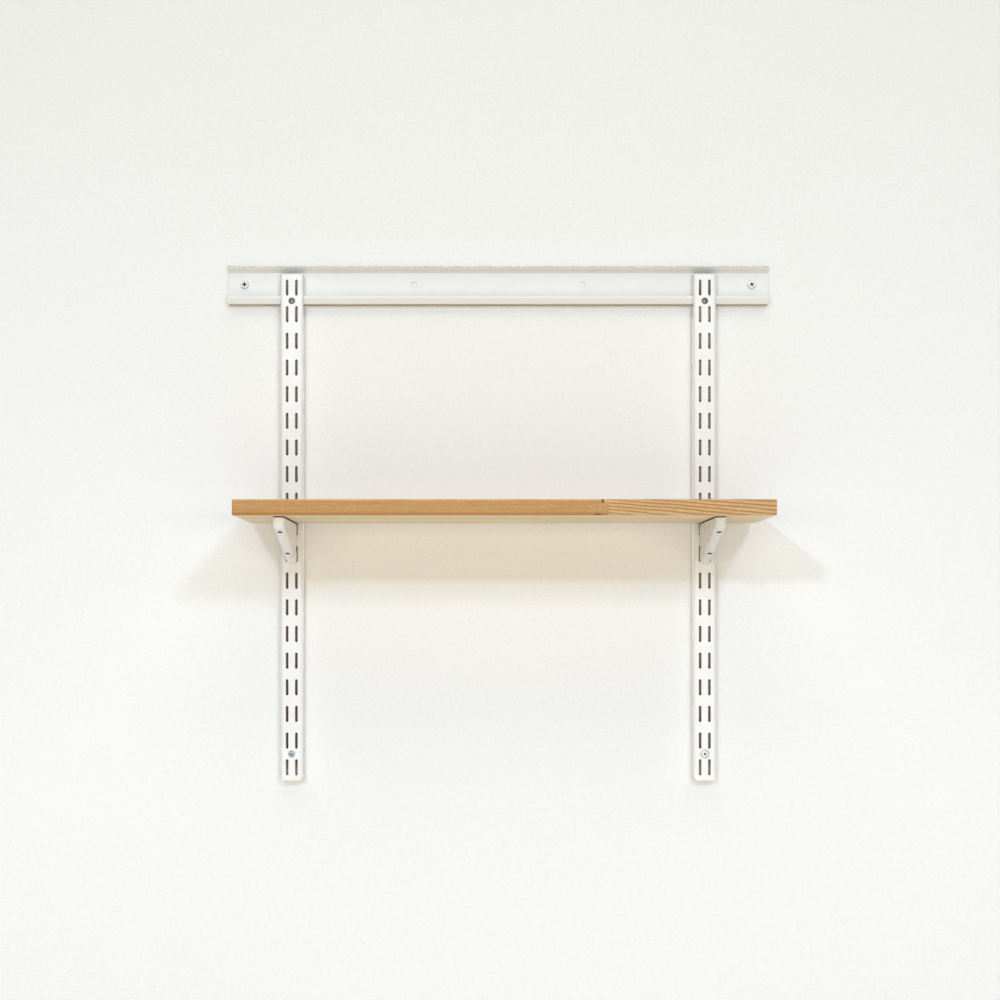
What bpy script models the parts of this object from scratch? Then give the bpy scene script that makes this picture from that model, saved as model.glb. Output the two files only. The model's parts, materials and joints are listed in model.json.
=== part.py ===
"""Wall shelf with brackets: a hang rail on the wall, two slotted uprights hooked over its lip,
two folded-steel brackets hooked into the slots, and a laminated pine board screwed on from below.

Metres, +Z up. The wall plane is y = 0 and the shelf stands out towards -Y. x = 0 is midway between
the uprights and z = 0 is the line of the rail's screw holes. Dimensions below are in millimetres.
"""

import math

import bmesh
import bpy
from mathutils import Vector

for leftover in list(bpy.data.objects):
    bpy.data.objects.remove(leftover, do_unlink=True)

MM = 0.001
GAP = 0.3  # clearance kept between pieces that touch

# Hang rail: one folded strip, web flat on the wall, a lip along the bottom to hang from
RAIL_LENGTH = 652.0
RAIL_SHEET = 1.5
RAIL_BEND = 1.2  # inner bend radius
RAIL_WEB_TOP = 14.8
RAIL_TIP = (-10.2, 21.2)  # upper edge of the top flange (y, z)
RAIL_FLOOR = -25.8
RAIL_LIP_FOOT = -8.0
RAIL_LIP_KINK = (-12.0, -17.2)
RAIL_LIP_TOP = -14.8
RAIL_HOLES = (-306.0, -102.0, 102.0, 306.0)
RAIL_HOLE = 6.8
RAIL_CORNER = 4.0

# Uprights: U channels with a double row of slots at the 32 mm pitch
UPRIGHT_X = 248.0
UPRIGHT_WIDTH = 27.5
UPRIGHT_DEPTH = 16.0
UPRIGHT_SHEET = 1.5
UPRIGHT_BEND = 4.0  # outer bend radius
PITCH = 32.0
SLOT_ROWS = 19
UPRIGHT_TOP = 10.4
UPRIGHT_LENGTH = PITCH * SLOT_ROWS
FIRST_SLOT = UPRIGHT_TOP - PITCH / 2
SLOT_COLUMN = 5.55
SLOT_WIDTH = 3.0
SLOT_LENGTH = 19.2
UPRIGHT_HOLE = 7.0
UPRIGHT_HOLES = (FIRST_SLOT - 0.5 * PITCH, FIRST_SLOT - 17.5 * PITCH)

# Shelf board
BOARD_X = (-297.5, 307.5)
BOARD_DEPTH = 200.0
BOARD_THICKNESS = 18.0
BOARD_UNDERSIDE = -288.6
BOARD_BACK = -UPRIGHT_DEPTH - 0.5
BOARD_EASE = 1.0

# Brackets: a channel folded from one sheet, closed below and at the nose
BRACKET_WIDTH = 12.7
BRACKET_SHEET = 1.6
BRACKET_REACH = 178.0
BRACKET_TOP = BOARD_UNDERSIDE - 1.0
BRACKET_HEEL = -338.2
BRACKET_SLOPE = 0.208
BRACKET_NOSE = 13.0  # nose radius in side view
FOOT_CORNER = 5.0  # taken off the uprights' flanges
BRACKET_FOLD = 4.2  # outer fold radius along the web
BRACKET_SCREWS = (55.0, 156.0)  # from the upright's face
ACCESS_HOLE = 6.4
TAB_LENGTH = 14.0
HOOK_ROWS = (9, 10)
HOOK_NECK = 11.2
HOOK_DROP = 6.0
HOOK_REST = 0.6  # neck above the slot's rounded end

# Fasteners
SCREW_SHANK = 4.0
SHELF_SHANK = 3.5
SHELF_SCREW_LENGTH = 12.0
PLUG_OUTER = 6.0
PLUG_LENGTH = 34.0

BRACKET_BACK = -UPRIGHT_DEPTH - GAP
RAIL_FRONT = -RAIL_SHEET


def material(name, colour, roughness, metallic=0.0):
    made = bpy.data.materials.new(name)
    made.use_nodes = True
    shader = made.node_tree.nodes["Principled BSDF"]
    shader.inputs["Base Color"].default_value = (*colour, 1.0)
    shader.inputs["Roughness"].default_value = roughness
    shader.inputs["Metallic"].default_value = metallic
    return made


WHITE_PAINT = material("white_powder_coat", (0.84, 0.83, 0.80), 0.45)
WHITE_SCREW = material("white_screw_paint", (0.86, 0.85, 0.82), 0.35)
ZINC = material("zinc_plate", (0.62, 0.66, 0.70), 0.30, 1.0)
PINE = material("laminated_pine", (0.62, 0.36, 0.17), 0.50)
NYLON = material("grey_nylon", (0.45, 0.46, 0.47), 0.55)


def along_x(u, v, w):
    """Outline in (y, z), depth along x."""
    return Vector((w, u, v)) * MM


def along_y(u, v, w):
    """Outline in (x, z), depth along y."""
    return Vector((u, w, v)) * MM


def along_z(u, v, w):
    """Outline in (x, y), depth along z."""
    return Vector((u, v, w)) * MM


def prism(mesh, outline, place, low, high):
    """One closed prism over a flat outline."""
    near = [mesh.verts.new(place(u, v, low)) for u, v in outline]
    far = [mesh.verts.new(place(u, v, high)) for u, v in outline]
    mesh.faces.new(near[::-1])
    mesh.faces.new(far)
    count = len(outline)
    for i in range(count):
        j = (i + 1) % count
        mesh.faces.new((near[i], near[j], far[j], far[i]))


def arc(centre, radius, start, end, steps):
    return [
        (
            centre[0] + radius * math.cos(start + (end - start) * k / steps),
            centre[1] + radius * math.sin(start + (end - start) * k / steps),
        )
        for k in range(steps + 1)
    ]


def rounded(corners, steps=3, closed=True):
    """Points along an outline of corners (u, v, radius), each corner turned with an arc."""
    points = []
    count = len(corners)
    for i, (u, v, radius) in enumerate(corners):
        ends = not closed and i in (0, count - 1)
        if radius <= 0 or ends:
            points.append((u, v))
            continue
        here = Vector((u, v))
        back = (Vector(corners[i - 1][:2]) - here).normalized()
        ahead = (Vector(corners[(i + 1) % count][:2]) - here).normalized()
        half = back.angle(ahead) / 2
        centre = here + (back + ahead).normalized() * (radius / math.sin(half))
        first = here + back * (radius / math.tan(half)) - centre
        last = here + ahead * (radius / math.tan(half)) - centre
        start = math.atan2(first.y, first.x)
        turn = math.atan2(last.y, last.x) - start
        turn = (turn + math.pi) % (2 * math.pi) - math.pi
        points += arc(centre, radius, start, start + turn, steps)
    return points


def folded(path, sheet, bend, steps=3):
    """Closed section of a sheet folded along a path; the sheet lies on the path's left."""
    points = [Vector(p) for p in path]
    runs = [(b - a).normalized() for a, b in zip(points, points[1:])]
    sides = [Vector((-run.y, run.x)) for run in runs]
    face, back = [], []
    for i, point in enumerate(points):
        if i in (0, len(points) - 1):
            side = sides[0] if i == 0 else sides[-1]
            face.append((*point, 0))
            back.append((*(point + side * sheet), 0))
            continue
        before, after = sides[i - 1], sides[i]
        middle = (before + after).normalized()
        shifted = point + middle * (sheet / middle.dot(before))
        left_turn = runs[i - 1].cross(runs[i]) > 0
        outer, inner = bend + sheet, bend
        face.append((*point, outer if left_turn else inner))
        back.append((*shifted, inner if left_turn else outer))
    return rounded(face, steps, False) + rounded(back, steps, False)[::-1]


def slot_outline(u, v, width, length, steps=4):
    """Upright slot with round ends."""
    radius = width / 2
    reach = length / 2 - radius
    top = arc((u, v + reach), radius, 0, math.pi, steps)
    bottom = arc((u, v - reach), radius, math.pi, 2 * math.pi, steps)
    return top + bottom


def circle(u, v, diameter, steps=16):
    turn = math.pi / steps
    return arc((u, v), diameter / 2, turn, 2 * math.pi + turn, steps)[:-1]


def finished(name, mesh, finish):
    """Turns a bmesh into a named object, its faces pointing out."""
    bmesh.ops.recalc_face_normals(mesh, faces=mesh.faces)
    data = bpy.data.meshes.new(name)
    mesh.to_mesh(data)
    mesh.free()
    made = bpy.data.objects.new(name, data)
    bpy.context.scene.collection.objects.link(made)
    if finish is not None:
        data.materials.append(finish)
        data.shade_smooth()
        data.set_sharp_from_angle(angle=math.radians(30))
    return made


def helper(name, mesh):
    """A cutter or an addition: only its Boolean shows."""
    made = finished(name, mesh, None)
    made.hide_render = True
    made.display_type = "WIRE"
    return made


def combine(obj, other, operation):
    step = obj.modifiers.new(operation.lower() + "_" + other.name, "BOOLEAN")
    step.operation = operation
    step.object = other
    step.solver = "EXACT"


def turned(mesh, profile, place, steps=16):
    """Closed solid turned from (radius, depth) points; it starts and ends on the axis."""
    rings = []
    for radius, depth in profile:
        if radius == 0:
            rings.append([mesh.verts.new(place(0, 0, depth))])
        else:
            rings.append(
                [mesh.verts.new(place(u, v, depth)) for u, v in circle(0, 0, 2 * radius, steps)]
            )
    for a, b in zip(rings, rings[1:]):
        for i in range(steps):
            j = (i + 1) % steps
            if len(a) == 1:
                mesh.faces.new((a[0], b[j], b[i]))
            elif len(b) == 1:
                mesh.faces.new((a[i], a[j], b[0]))
            else:
                mesh.faces.new((a[i], a[j], b[j], b[i]))


def cross_outline(size, arm):
    """Cross of a Phillips recess."""
    s, a = size / 2, arm / 2
    return [
        (a, a), (a, s), (-a, s), (-a, a), (-s, a), (-s, -a),
        (-a, -a), (-a, -s), (a, -s), (a, -a), (s, -a), (s, a),
    ]


# ---------------------------------------------------------------- structure
assembly = bpy.data.objects.new("shelf_assembly", None)
shelf_unit = bpy.data.objects.new("shelf_lift_axis", None)
for empty in (assembly, shelf_unit):
    bpy.context.scene.collection.objects.link(empty)
# The shelf with its brackets lifts straight up out of the slots.
shelf_unit.location = Vector((0, BRACKET_BACK, FIRST_SLOT - HOOK_ROWS[0] * PITCH)) * MM
shelf_unit.parent = assembly


def hold(obj, parent, origin=(0, 0, 0)):
    """Parents an object; its mesh was made about origin, given in world millimetres."""
    obj.parent = parent
    obj.location = Vector(origin) * MM - parent.location
    return obj


# ---------------------------------------------------------------- hang rail
rail_path = [
    RAIL_TIP,
    (0.0, RAIL_WEB_TOP),
    (0.0, RAIL_FLOOR),
    (RAIL_LIP_FOOT, RAIL_FLOOR),
    RAIL_LIP_KINK,
    (RAIL_LIP_KINK[0], RAIL_LIP_TOP),
]
# In (y, z) with the wall at the right, the path runs down the wall side, so the sheet is on
# the right of it: the outline is made mirrored in y and turned back.
section = folded([(-y, z) for y, z in rail_path], RAIL_SHEET, RAIL_BEND)
mesh = bmesh.new()
prism(mesh, [(-u, v) for u, v in section], along_x, -RAIL_LENGTH / 2, RAIL_LENGTH / 2)
hang_rail = hold(finished("hang_rail", mesh, WHITE_PAINT), assembly)

mesh = bmesh.new()
for x in RAIL_HOLES:
    prism(mesh, circle(x, 0, RAIL_HOLE), along_y, -4, 2)
for side in (-1, 1):
    end = side * RAIL_LENGTH / 2
    turn = (end - side * RAIL_CORNER, RAIL_FLOOR + RAIL_CORNER)
    angles = (0, -math.pi / 2) if side > 0 else (math.pi, 1.5 * math.pi)
    corner = arc(turn, RAIL_CORNER, angles[0], angles[1], 4)
    corner += [(turn[0], RAIL_FLOOR - 2), (end + side * 2, RAIL_FLOOR - 2), (end + side * 2, turn[1])]
    prism(mesh, corner, along_y, -16, 2)
combine(hang_rail, helper("rail_cuts", mesh), "DIFFERENCE")


# ---------------------------------------------------------------- uprights
def upright(name, x):
    half = UPRIGHT_WIDTH / 2
    path = [(-half, 0), (-half, -UPRIGHT_DEPTH), (half, -UPRIGHT_DEPTH), (half, 0)]
    outline = folded(path, UPRIGHT_SHEET, UPRIGHT_BEND - UPRIGHT_SHEET)
    foot = UPRIGHT_TOP - UPRIGHT_LENGTH
    mesh = bmesh.new()
    prism(mesh, outline, along_z, foot, UPRIGHT_TOP)
    made = hold(finished(name, mesh, WHITE_PAINT), assembly, (x, 0, 0))

    cuts = bmesh.new()
    for row in range(SLOT_ROWS):
        for column in (-SLOT_COLUMN, SLOT_COLUMN):
            shape = slot_outline(column, FIRST_SLOT - row * PITCH, SLOT_WIDTH, SLOT_LENGTH)
            prism(cuts, shape, along_y, -UPRIGHT_DEPTH - 2, -UPRIGHT_DEPTH + 4)
    for z in UPRIGHT_HOLES:
        prism(cuts, circle(0, z, UPRIGHT_HOLE), along_y, -UPRIGHT_DEPTH - 2, -UPRIGHT_DEPTH + 4)
    combine(made, hold(helper(name + "_slots", cuts), assembly, (x, 0, 0)), "DIFFERENCE")

    # The rear of each side flange: clear of the rail's web, a tail that drops into the rail's
    # trough, a notch that straddles the lip, and room below it to lift the upright off.
    lip_front = RAIL_LIP_KINK[0] - 0.4
    notch_roof = RAIL_LIP_TOP + GAP
    trough = RAIL_FLOOR + RAIL_SHEET + 0.4
    rear = [
        (1.0, -40.0),
        (-10.0, -40.0),
        (lip_front, -37.6),
        (lip_front, notch_roof),
        (-9.9, notch_roof),
        (-9.0, -16.6),
        (-5.6, trough),
        (RAIL_FRONT - GAP, trough),
        (RAIL_FRONT - GAP, UPRIGHT_TOP + 3),
        (1.0, UPRIGHT_TOP + 3),
    ]
    notch = bmesh.new()
    prism(notch, rear, along_x, -half - 2, half + 2)
    # Corners taken off the flanges at the foot
    prism(notch, [(1, foot - 1), (-FOOT_CORNER - 1, foot - 1), (1, foot + FOOT_CORNER + 1)], along_x, -half - 2, half + 2)
    combine(made, hold(helper(name + "_notch", notch), assembly, (x, 0, 0)), "DIFFERENCE")
    return made


left_upright = upright("left_upright", -UPRIGHT_X)
right_upright = upright("right_upright", UPRIGHT_X)


# ---------------------------------------------------------------- brackets
def bracket_profile(inset, steps):
    """Side outline (y, z) of the bracket, moved in by inset from the nose and the web."""
    slant = math.hypot(1, BRACKET_SLOPE)
    lift = inset * slant
    heel = BRACKET_HEEL + lift
    nose = BRACKET_REACH - inset
    back = 0.0 if inset == 0 else -6.0
    top = BRACKET_TOP + (0 if inset == 0 else 6.0)
    corners = [
        (back, top, 0),
        (back, heel + BRACKET_SLOPE * back, 0),
        (nose, heel + BRACKET_SLOPE * nose, BRACKET_NOSE - inset),
        (nose, top, 0),
    ]
    return [(BRACKET_BACK - s, z) for s, z in rounded(corners, steps)]


def web_height(s):
    return BRACKET_HEEL + BRACKET_SLOPE * s


def fold_edges(mesh, radius):
    """Rounds the edges that run along the web and the nose, not those at the top and the back."""
    bmesh.ops.recalc_face_normals(mesh, faces=mesh.faces)
    top = max(v.co.z for v in mesh.verts)
    back = max(v.co.y for v in mesh.verts)
    edges = []
    for edge in mesh.edges:
        a, b = (v.co for v in edge.verts)
        on_top = min(a.z, b.z) > top - 1e-6
        on_back = min(a.y, b.y) > back - 1e-6
        if abs(a.x - b.x) < 1e-6 and not on_top and not on_back:
            edges.append(edge)
    bmesh.ops.bevel(mesh, geom=edges, offset=radius * MM, segments=4, profile=0.5, affect="EDGES")


def bracket(name, x):
    half = BRACKET_WIDTH / 2
    origin = Vector((x, BRACKET_BACK, FIRST_SLOT - HOOK_ROWS[0] * PITCH))

    def here(place):
        return lambda u, v, w: place(u, v, w) - Vector((0, origin.y, origin.z)) * MM

    mesh = bmesh.new()
    prism(mesh, bracket_profile(0, 6), here(along_x), -half, half)
    fold_edges(mesh, BRACKET_FOLD)
    made = hold(finished(name, mesh, WHITE_PAINT), shelf_unit, origin)

    cavity = bmesh.new()
    prism(cavity, bracket_profile(BRACKET_SHEET, 6), here(along_x), -half + BRACKET_SHEET, half - BRACKET_SHEET)
    fold_edges(cavity, BRACKET_FOLD - BRACKET_SHEET)
    combine(made, hold(helper(name + "_cavity", cavity), shelf_unit, origin), "DIFFERENCE")

    # Two tabs folded in at the top carry the board; the cheek's two hooks leave its back edge.
    extra = bmesh.new()
    tab_top = BOARD_UNDERSIDE - GAP
    for s in BRACKET_SCREWS:
        low, high = BRACKET_BACK - s - TAB_LENGTH / 2, BRACKET_BACK - s + TAB_LENGTH / 2
        outline = [(low, tab_top - BRACKET_SHEET), (high, tab_top - BRACKET_SHEET), (high, tab_top), (low, tab_top)]
        prism(extra, outline, here(along_x), -half + 0.4, half - BRACKET_SHEET - 0.5)
    behind = -UPRIGHT_DEPTH + UPRIGHT_SHEET + GAP
    for row in HOOK_ROWS:
        seat = FIRST_SLOT - row * PITCH - SLOT_LENGTH / 2 + HOOK_REST
        head = seat + HOOK_NECK
        hook = rounded(
            [
                (BRACKET_BACK - 4, seat, 0),
                (behind, seat, 0),
                (behind, seat - HOOK_DROP, 0.5),
                (behind + 3.0, seat - HOOK_DROP, 1.5),
                (behind + 4.0, head - 4.0, 2.0),
                (behind + 1.5, head, 1.0),
                (BRACKET_BACK - 4, head, 0),
            ],
            2,
        )
        for side in (-1, 1):
            inner, outer = side * (half - BRACKET_SHEET), side * half
            prism(extra, hook, here(along_x), min(inner, outer), max(inner, outer))
    combine(made, hold(helper(name + "_tabs_hooks", extra), shelf_unit, origin), "UNION")

    holes = bmesh.new()
    for s in BRACKET_SCREWS:
        y = BRACKET_BACK - s
        prism(holes, circle(0, y, SHELF_SHANK + 0.7, 12), here(along_z), tab_top - 4, tab_top + 2)
        prism(holes, circle(0, y, ACCESS_HOLE, 16), here(along_z), web_height(s) - 4, web_height(s) + 6)
    combine(made, hold(helper(name + "_holes", holes), shelf_unit, origin), "DIFFERENCE")
    return made


left_bracket = bracket("left_bracket", -UPRIGHT_X)
right_bracket = bracket("right_bracket", UPRIGHT_X)

# ---------------------------------------------------------------- shelf board
board_front = BOARD_BACK - BOARD_DEPTH
board_middle = Vector(((BOARD_X[0] + BOARD_X[1]) / 2, (BOARD_BACK + board_front) / 2, BOARD_UNDERSIDE + BOARD_THICKNESS / 2))
mesh = bmesh.new()
half_length = (BOARD_X[1] - BOARD_X[0]) / 2
prism(
    mesh,
    [(-half_length, -BOARD_DEPTH / 2), (half_length, -BOARD_DEPTH / 2), (half_length, BOARD_DEPTH / 2), (-half_length, BOARD_DEPTH / 2)],
    along_z,
    -BOARD_THICKNESS / 2,
    BOARD_THICKNESS / 2,
)
bmesh.ops.recalc_face_normals(mesh, faces=mesh.faces)
bmesh.ops.bevel(mesh, geom=list(mesh.edges), offset=BOARD_EASE * MM, segments=2, profile=0.5, affect="EDGES")
shelf_board = hold(finished("shelf_board", mesh, PINE), shelf_unit, board_middle)

mesh = bmesh.new()
for x in (-UPRIGHT_X, UPRIGHT_X):
    for s in BRACKET_SCREWS:
        prism(
            mesh,
            circle(x - board_middle.x, BRACKET_BACK - s - board_middle.y, SHELF_SHANK + 0.7, 12),
            along_z,
            -BOARD_THICKNESS / 2 - 2,
            -BOARD_THICKNESS / 2 + SHELF_SCREW_LENGTH + GAP,
        )
combine(shelf_board, hold(helper("board_pilot_holes", mesh), shelf_unit, board_middle), "DIFFERENCE")


# ---------------------------------------------------------------- fasteners
def screw(name, origin, profile, recess, place, into, finish, parent, steps=16):
    """Screw about its own axis; depth 0 is the underside of its head and grows towards the tip."""
    mesh = bmesh.new()
    turned(mesh, profile, lambda u, v, w: place(u, v, w * into), steps)
    made = hold(finished(name, mesh, finish), parent, origin)
    size, arm, top, depth = recess
    cut = bmesh.new()
    low, high = sorted((into * (top - 1), into * (top + depth)))
    prism(cut, cross_outline(size, arm), place, low, high)
    combine(made, hold(helper(name + "_recess", cut), parent, origin), "DIFFERENCE")
    return made


def pan_profile(head, height, shank, length):
    """(radius, depth) from the head's crown to the tip."""
    r = head / 2
    return [
        (0, -height),
        (0.45 * r, -height * 0.97),
        (0.80 * r, -height * 0.80),
        (0.97 * r, -height * 0.45),
        (r, -height * 0.12),
        (0.96 * r, 0),
        (shank / 2, 0),
        (shank / 2, length - 3),
        (0, length),
    ]


# Rail screws: white pan heads over the end holes
for side, x in (("left", RAIL_HOLES[0]), ("right", RAIL_HOLES[-1])):
    screw(
        "rail_screw_" + side, (x, RAIL_FRONT - GAP, 0), pan_profile(10.2, 2.8, SCREW_SHANK, 33),
        (5.2, 1.2, -2.8, 1.7), along_y, 1, WHITE_SCREW, assembly,
    )
# Upright screws through the lowest round hole: zinc on the left, white on the right
face = -UPRIGHT_DEPTH - GAP
foot_hole = UPRIGHT_HOLES[1]
screw(
    "upright_screw_left", (-UPRIGHT_X, face, foot_hole), pan_profile(8.2, 1.8, SCREW_SHANK, 44),
    (4.4, 1.1, -1.8, 1.3), along_y, 1, ZINC, assembly,
)
screw(
    "upright_screw_right", (UPRIGHT_X, face, foot_hole), pan_profile(10.4, 2.5, SCREW_SHANK, 44),
    (4.2, 1.1, -2.5, 1.6), along_y, 1, WHITE_SCREW, assembly,
)
# Shelf screws: up through the bracket tabs into the board
seat = BOARD_UNDERSIDE - GAP - BRACKET_SHEET - GAP
for side, x in (("left", -UPRIGHT_X), ("right", UPRIGHT_X)):
    for place_name, s in zip(("rear", "front"), BRACKET_SCREWS):
        screw(
            "shelf_screw_" + side + "_" + place_name, (x, BRACKET_BACK - s, seat),
            pan_profile(6.6, 2.0, SHELF_SHANK, SHELF_SCREW_LENGTH + 2.2),
            (3.6, 0.9, -2.0, 1.3), along_z, 1, ZINC, shelf_unit, 12,
        )


def wall_plug(name, x, z):
    """Closed-ended sleeve sunk in the wall, flush with its face."""
    outer, inner = PLUG_OUTER / 2, SCREW_SHANK / 2 + GAP
    mesh = bmesh.new()
    turned(
        mesh,
        [
            (0, 32.6), (inner, 32.6), (inner, 0.0), (outer, 0.0), (outer, PLUG_LENGTH - 1),
            (outer - 1, PLUG_LENGTH), (0, PLUG_LENGTH),
        ],
        along_y,
    )
    return hold(finished(name, mesh, NYLON), assembly, (x, GAP, z))


wall_plug("rail_plug_left", RAIL_HOLES[0], 0)
wall_plug("rail_plug_right", RAIL_HOLES[-1], 0)
wall_plug("upright_plug_left", -UPRIGHT_X, foot_hole)
wall_plug("upright_plug_right", UPRIGHT_X, foot_hole)
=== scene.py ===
"""Looks of the wall shelf with brackets: every piece rebuilt as sheet metal, screws, plugs and wood
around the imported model, with its wall, floor, lights and camera.

The pieces are worked out in millimetres in the row frame (+Z up, the wall at y = 0, the shelf
towards -Y) and scaled to metres as each mesh is made.
"""

import json
import math

import bmesh
import bpy
import numpy as np
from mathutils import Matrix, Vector
from mathutils.geometry import delaunay_2d_cdt

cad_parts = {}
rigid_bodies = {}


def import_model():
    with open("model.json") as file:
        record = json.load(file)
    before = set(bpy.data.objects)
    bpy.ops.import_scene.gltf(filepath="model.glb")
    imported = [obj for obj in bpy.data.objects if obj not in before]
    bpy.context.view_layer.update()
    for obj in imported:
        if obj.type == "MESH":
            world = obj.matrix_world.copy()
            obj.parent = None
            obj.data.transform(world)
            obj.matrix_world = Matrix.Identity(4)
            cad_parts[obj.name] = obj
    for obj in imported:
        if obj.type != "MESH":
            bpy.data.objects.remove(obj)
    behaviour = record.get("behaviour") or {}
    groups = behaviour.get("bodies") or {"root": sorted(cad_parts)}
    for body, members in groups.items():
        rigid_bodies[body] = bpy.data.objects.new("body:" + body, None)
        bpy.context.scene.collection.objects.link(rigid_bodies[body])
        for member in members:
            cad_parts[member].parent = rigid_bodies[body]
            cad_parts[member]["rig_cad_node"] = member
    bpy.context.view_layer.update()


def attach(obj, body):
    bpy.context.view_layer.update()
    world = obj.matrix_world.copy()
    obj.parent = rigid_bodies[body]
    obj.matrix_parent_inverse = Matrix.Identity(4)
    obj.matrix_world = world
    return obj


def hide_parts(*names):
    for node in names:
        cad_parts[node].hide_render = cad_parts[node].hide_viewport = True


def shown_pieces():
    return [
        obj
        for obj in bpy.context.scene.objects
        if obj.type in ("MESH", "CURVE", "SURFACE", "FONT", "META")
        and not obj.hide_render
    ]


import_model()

MM = 0.001

# The same sizes as the solids
RAIL_END = 326.0
RAIL_SHEET = 1.5
RAIL_HOLES = (-306.0, -102.0, 102.0, 306.0)
UPRIGHT_X = 248.0
UPRIGHT_SHEET = 1.5
UPRIGHT_TOP = 10.4
UPRIGHT_FOOT = -597.6
PITCH = 32.0
FIRST_SLOT = -5.6
SLOT_COLUMN = 5.55
BOARD_LOW = (-297.5, -216.5, -288.6)
BOARD_HIGH = (307.5, -16.5, -270.6)
BRACKET_BACK = -16.3
BRACKET_SCREWS = (55.0, 156.0)


# ================================================================= outlines
def arc(centre, radius, start, turn, most=10.0):
    steps = max(2, math.ceil(abs(math.degrees(turn)) / most))
    return [
        (centre[0] + radius * math.cos(start + turn * k / steps), centre[1] + radius * math.sin(start + turn * k / steps))
        for k in range(steps + 1)
    ]


def filleted(corners, closed=True, most=12.0):
    """Points along an outline of corners (u, v, radius), each corner turned with an arc."""
    points = []
    count = len(corners)
    for i, (u, v, radius) in enumerate(corners):
        if radius <= 0 or (not closed and i in (0, count - 1)):
            points.append((u, v))
            continue
        here = np.array((u, v))
        back = np.array(corners[i - 1][:2]) - here
        ahead = np.array(corners[(i + 1) % count][:2]) - here
        back, ahead = back / np.linalg.norm(back), ahead / np.linalg.norm(ahead)
        half = math.acos(max(-1.0, min(1.0, float(back @ ahead)))) / 2
        middle = (back + ahead) / np.linalg.norm(back + ahead)
        centre = here + middle * (radius / math.sin(half))
        first = here + back * (radius / math.tan(half)) - centre
        last = here + ahead * (radius / math.tan(half)) - centre
        start = math.atan2(first[1], first[0])
        turn = math.atan2(last[1], last[0]) - start
        turn = (turn + math.pi) % (2 * math.pi) - math.pi
        points += arc(centre, radius, start, turn, most)
    return points


def slot_outline(u, v, width, length):
    radius = width / 2
    reach = length / 2 - radius
    return arc((u, v + reach), radius, 0, math.pi, 14) + arc((u, v - reach), radius, math.pi, math.pi, 14)


def circle(u, v, radius, count=40):
    return [(u + radius * math.cos(2 * math.pi * k / count), v + radius * math.sin(2 * math.pi * k / count)) for k in range(count)]


# ================================================================= flat region to triangles
def inside(points, contours):
    """Even-odd test of points against closed contours."""
    result = np.zeros(len(points), bool)
    px, py = points[:, 0][:, None], points[:, 1][:, None]
    for contour in contours:
        a = np.array(contour)
        b = np.roll(a, -1, axis=0)
        crosses = (a[:, 1] > py) != (b[:, 1] > py)
        rise = b[:, 1] - a[:, 1]
        rise = np.where(np.abs(rise) < 1e-12, 1e-12, rise)
        at = a[:, 0] + (py - a[:, 1]) * (b[:, 0] - a[:, 0]) / rise
        result ^= ((crosses & (px < at)).sum(1) % 2).astype(bool)
    return result


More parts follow.
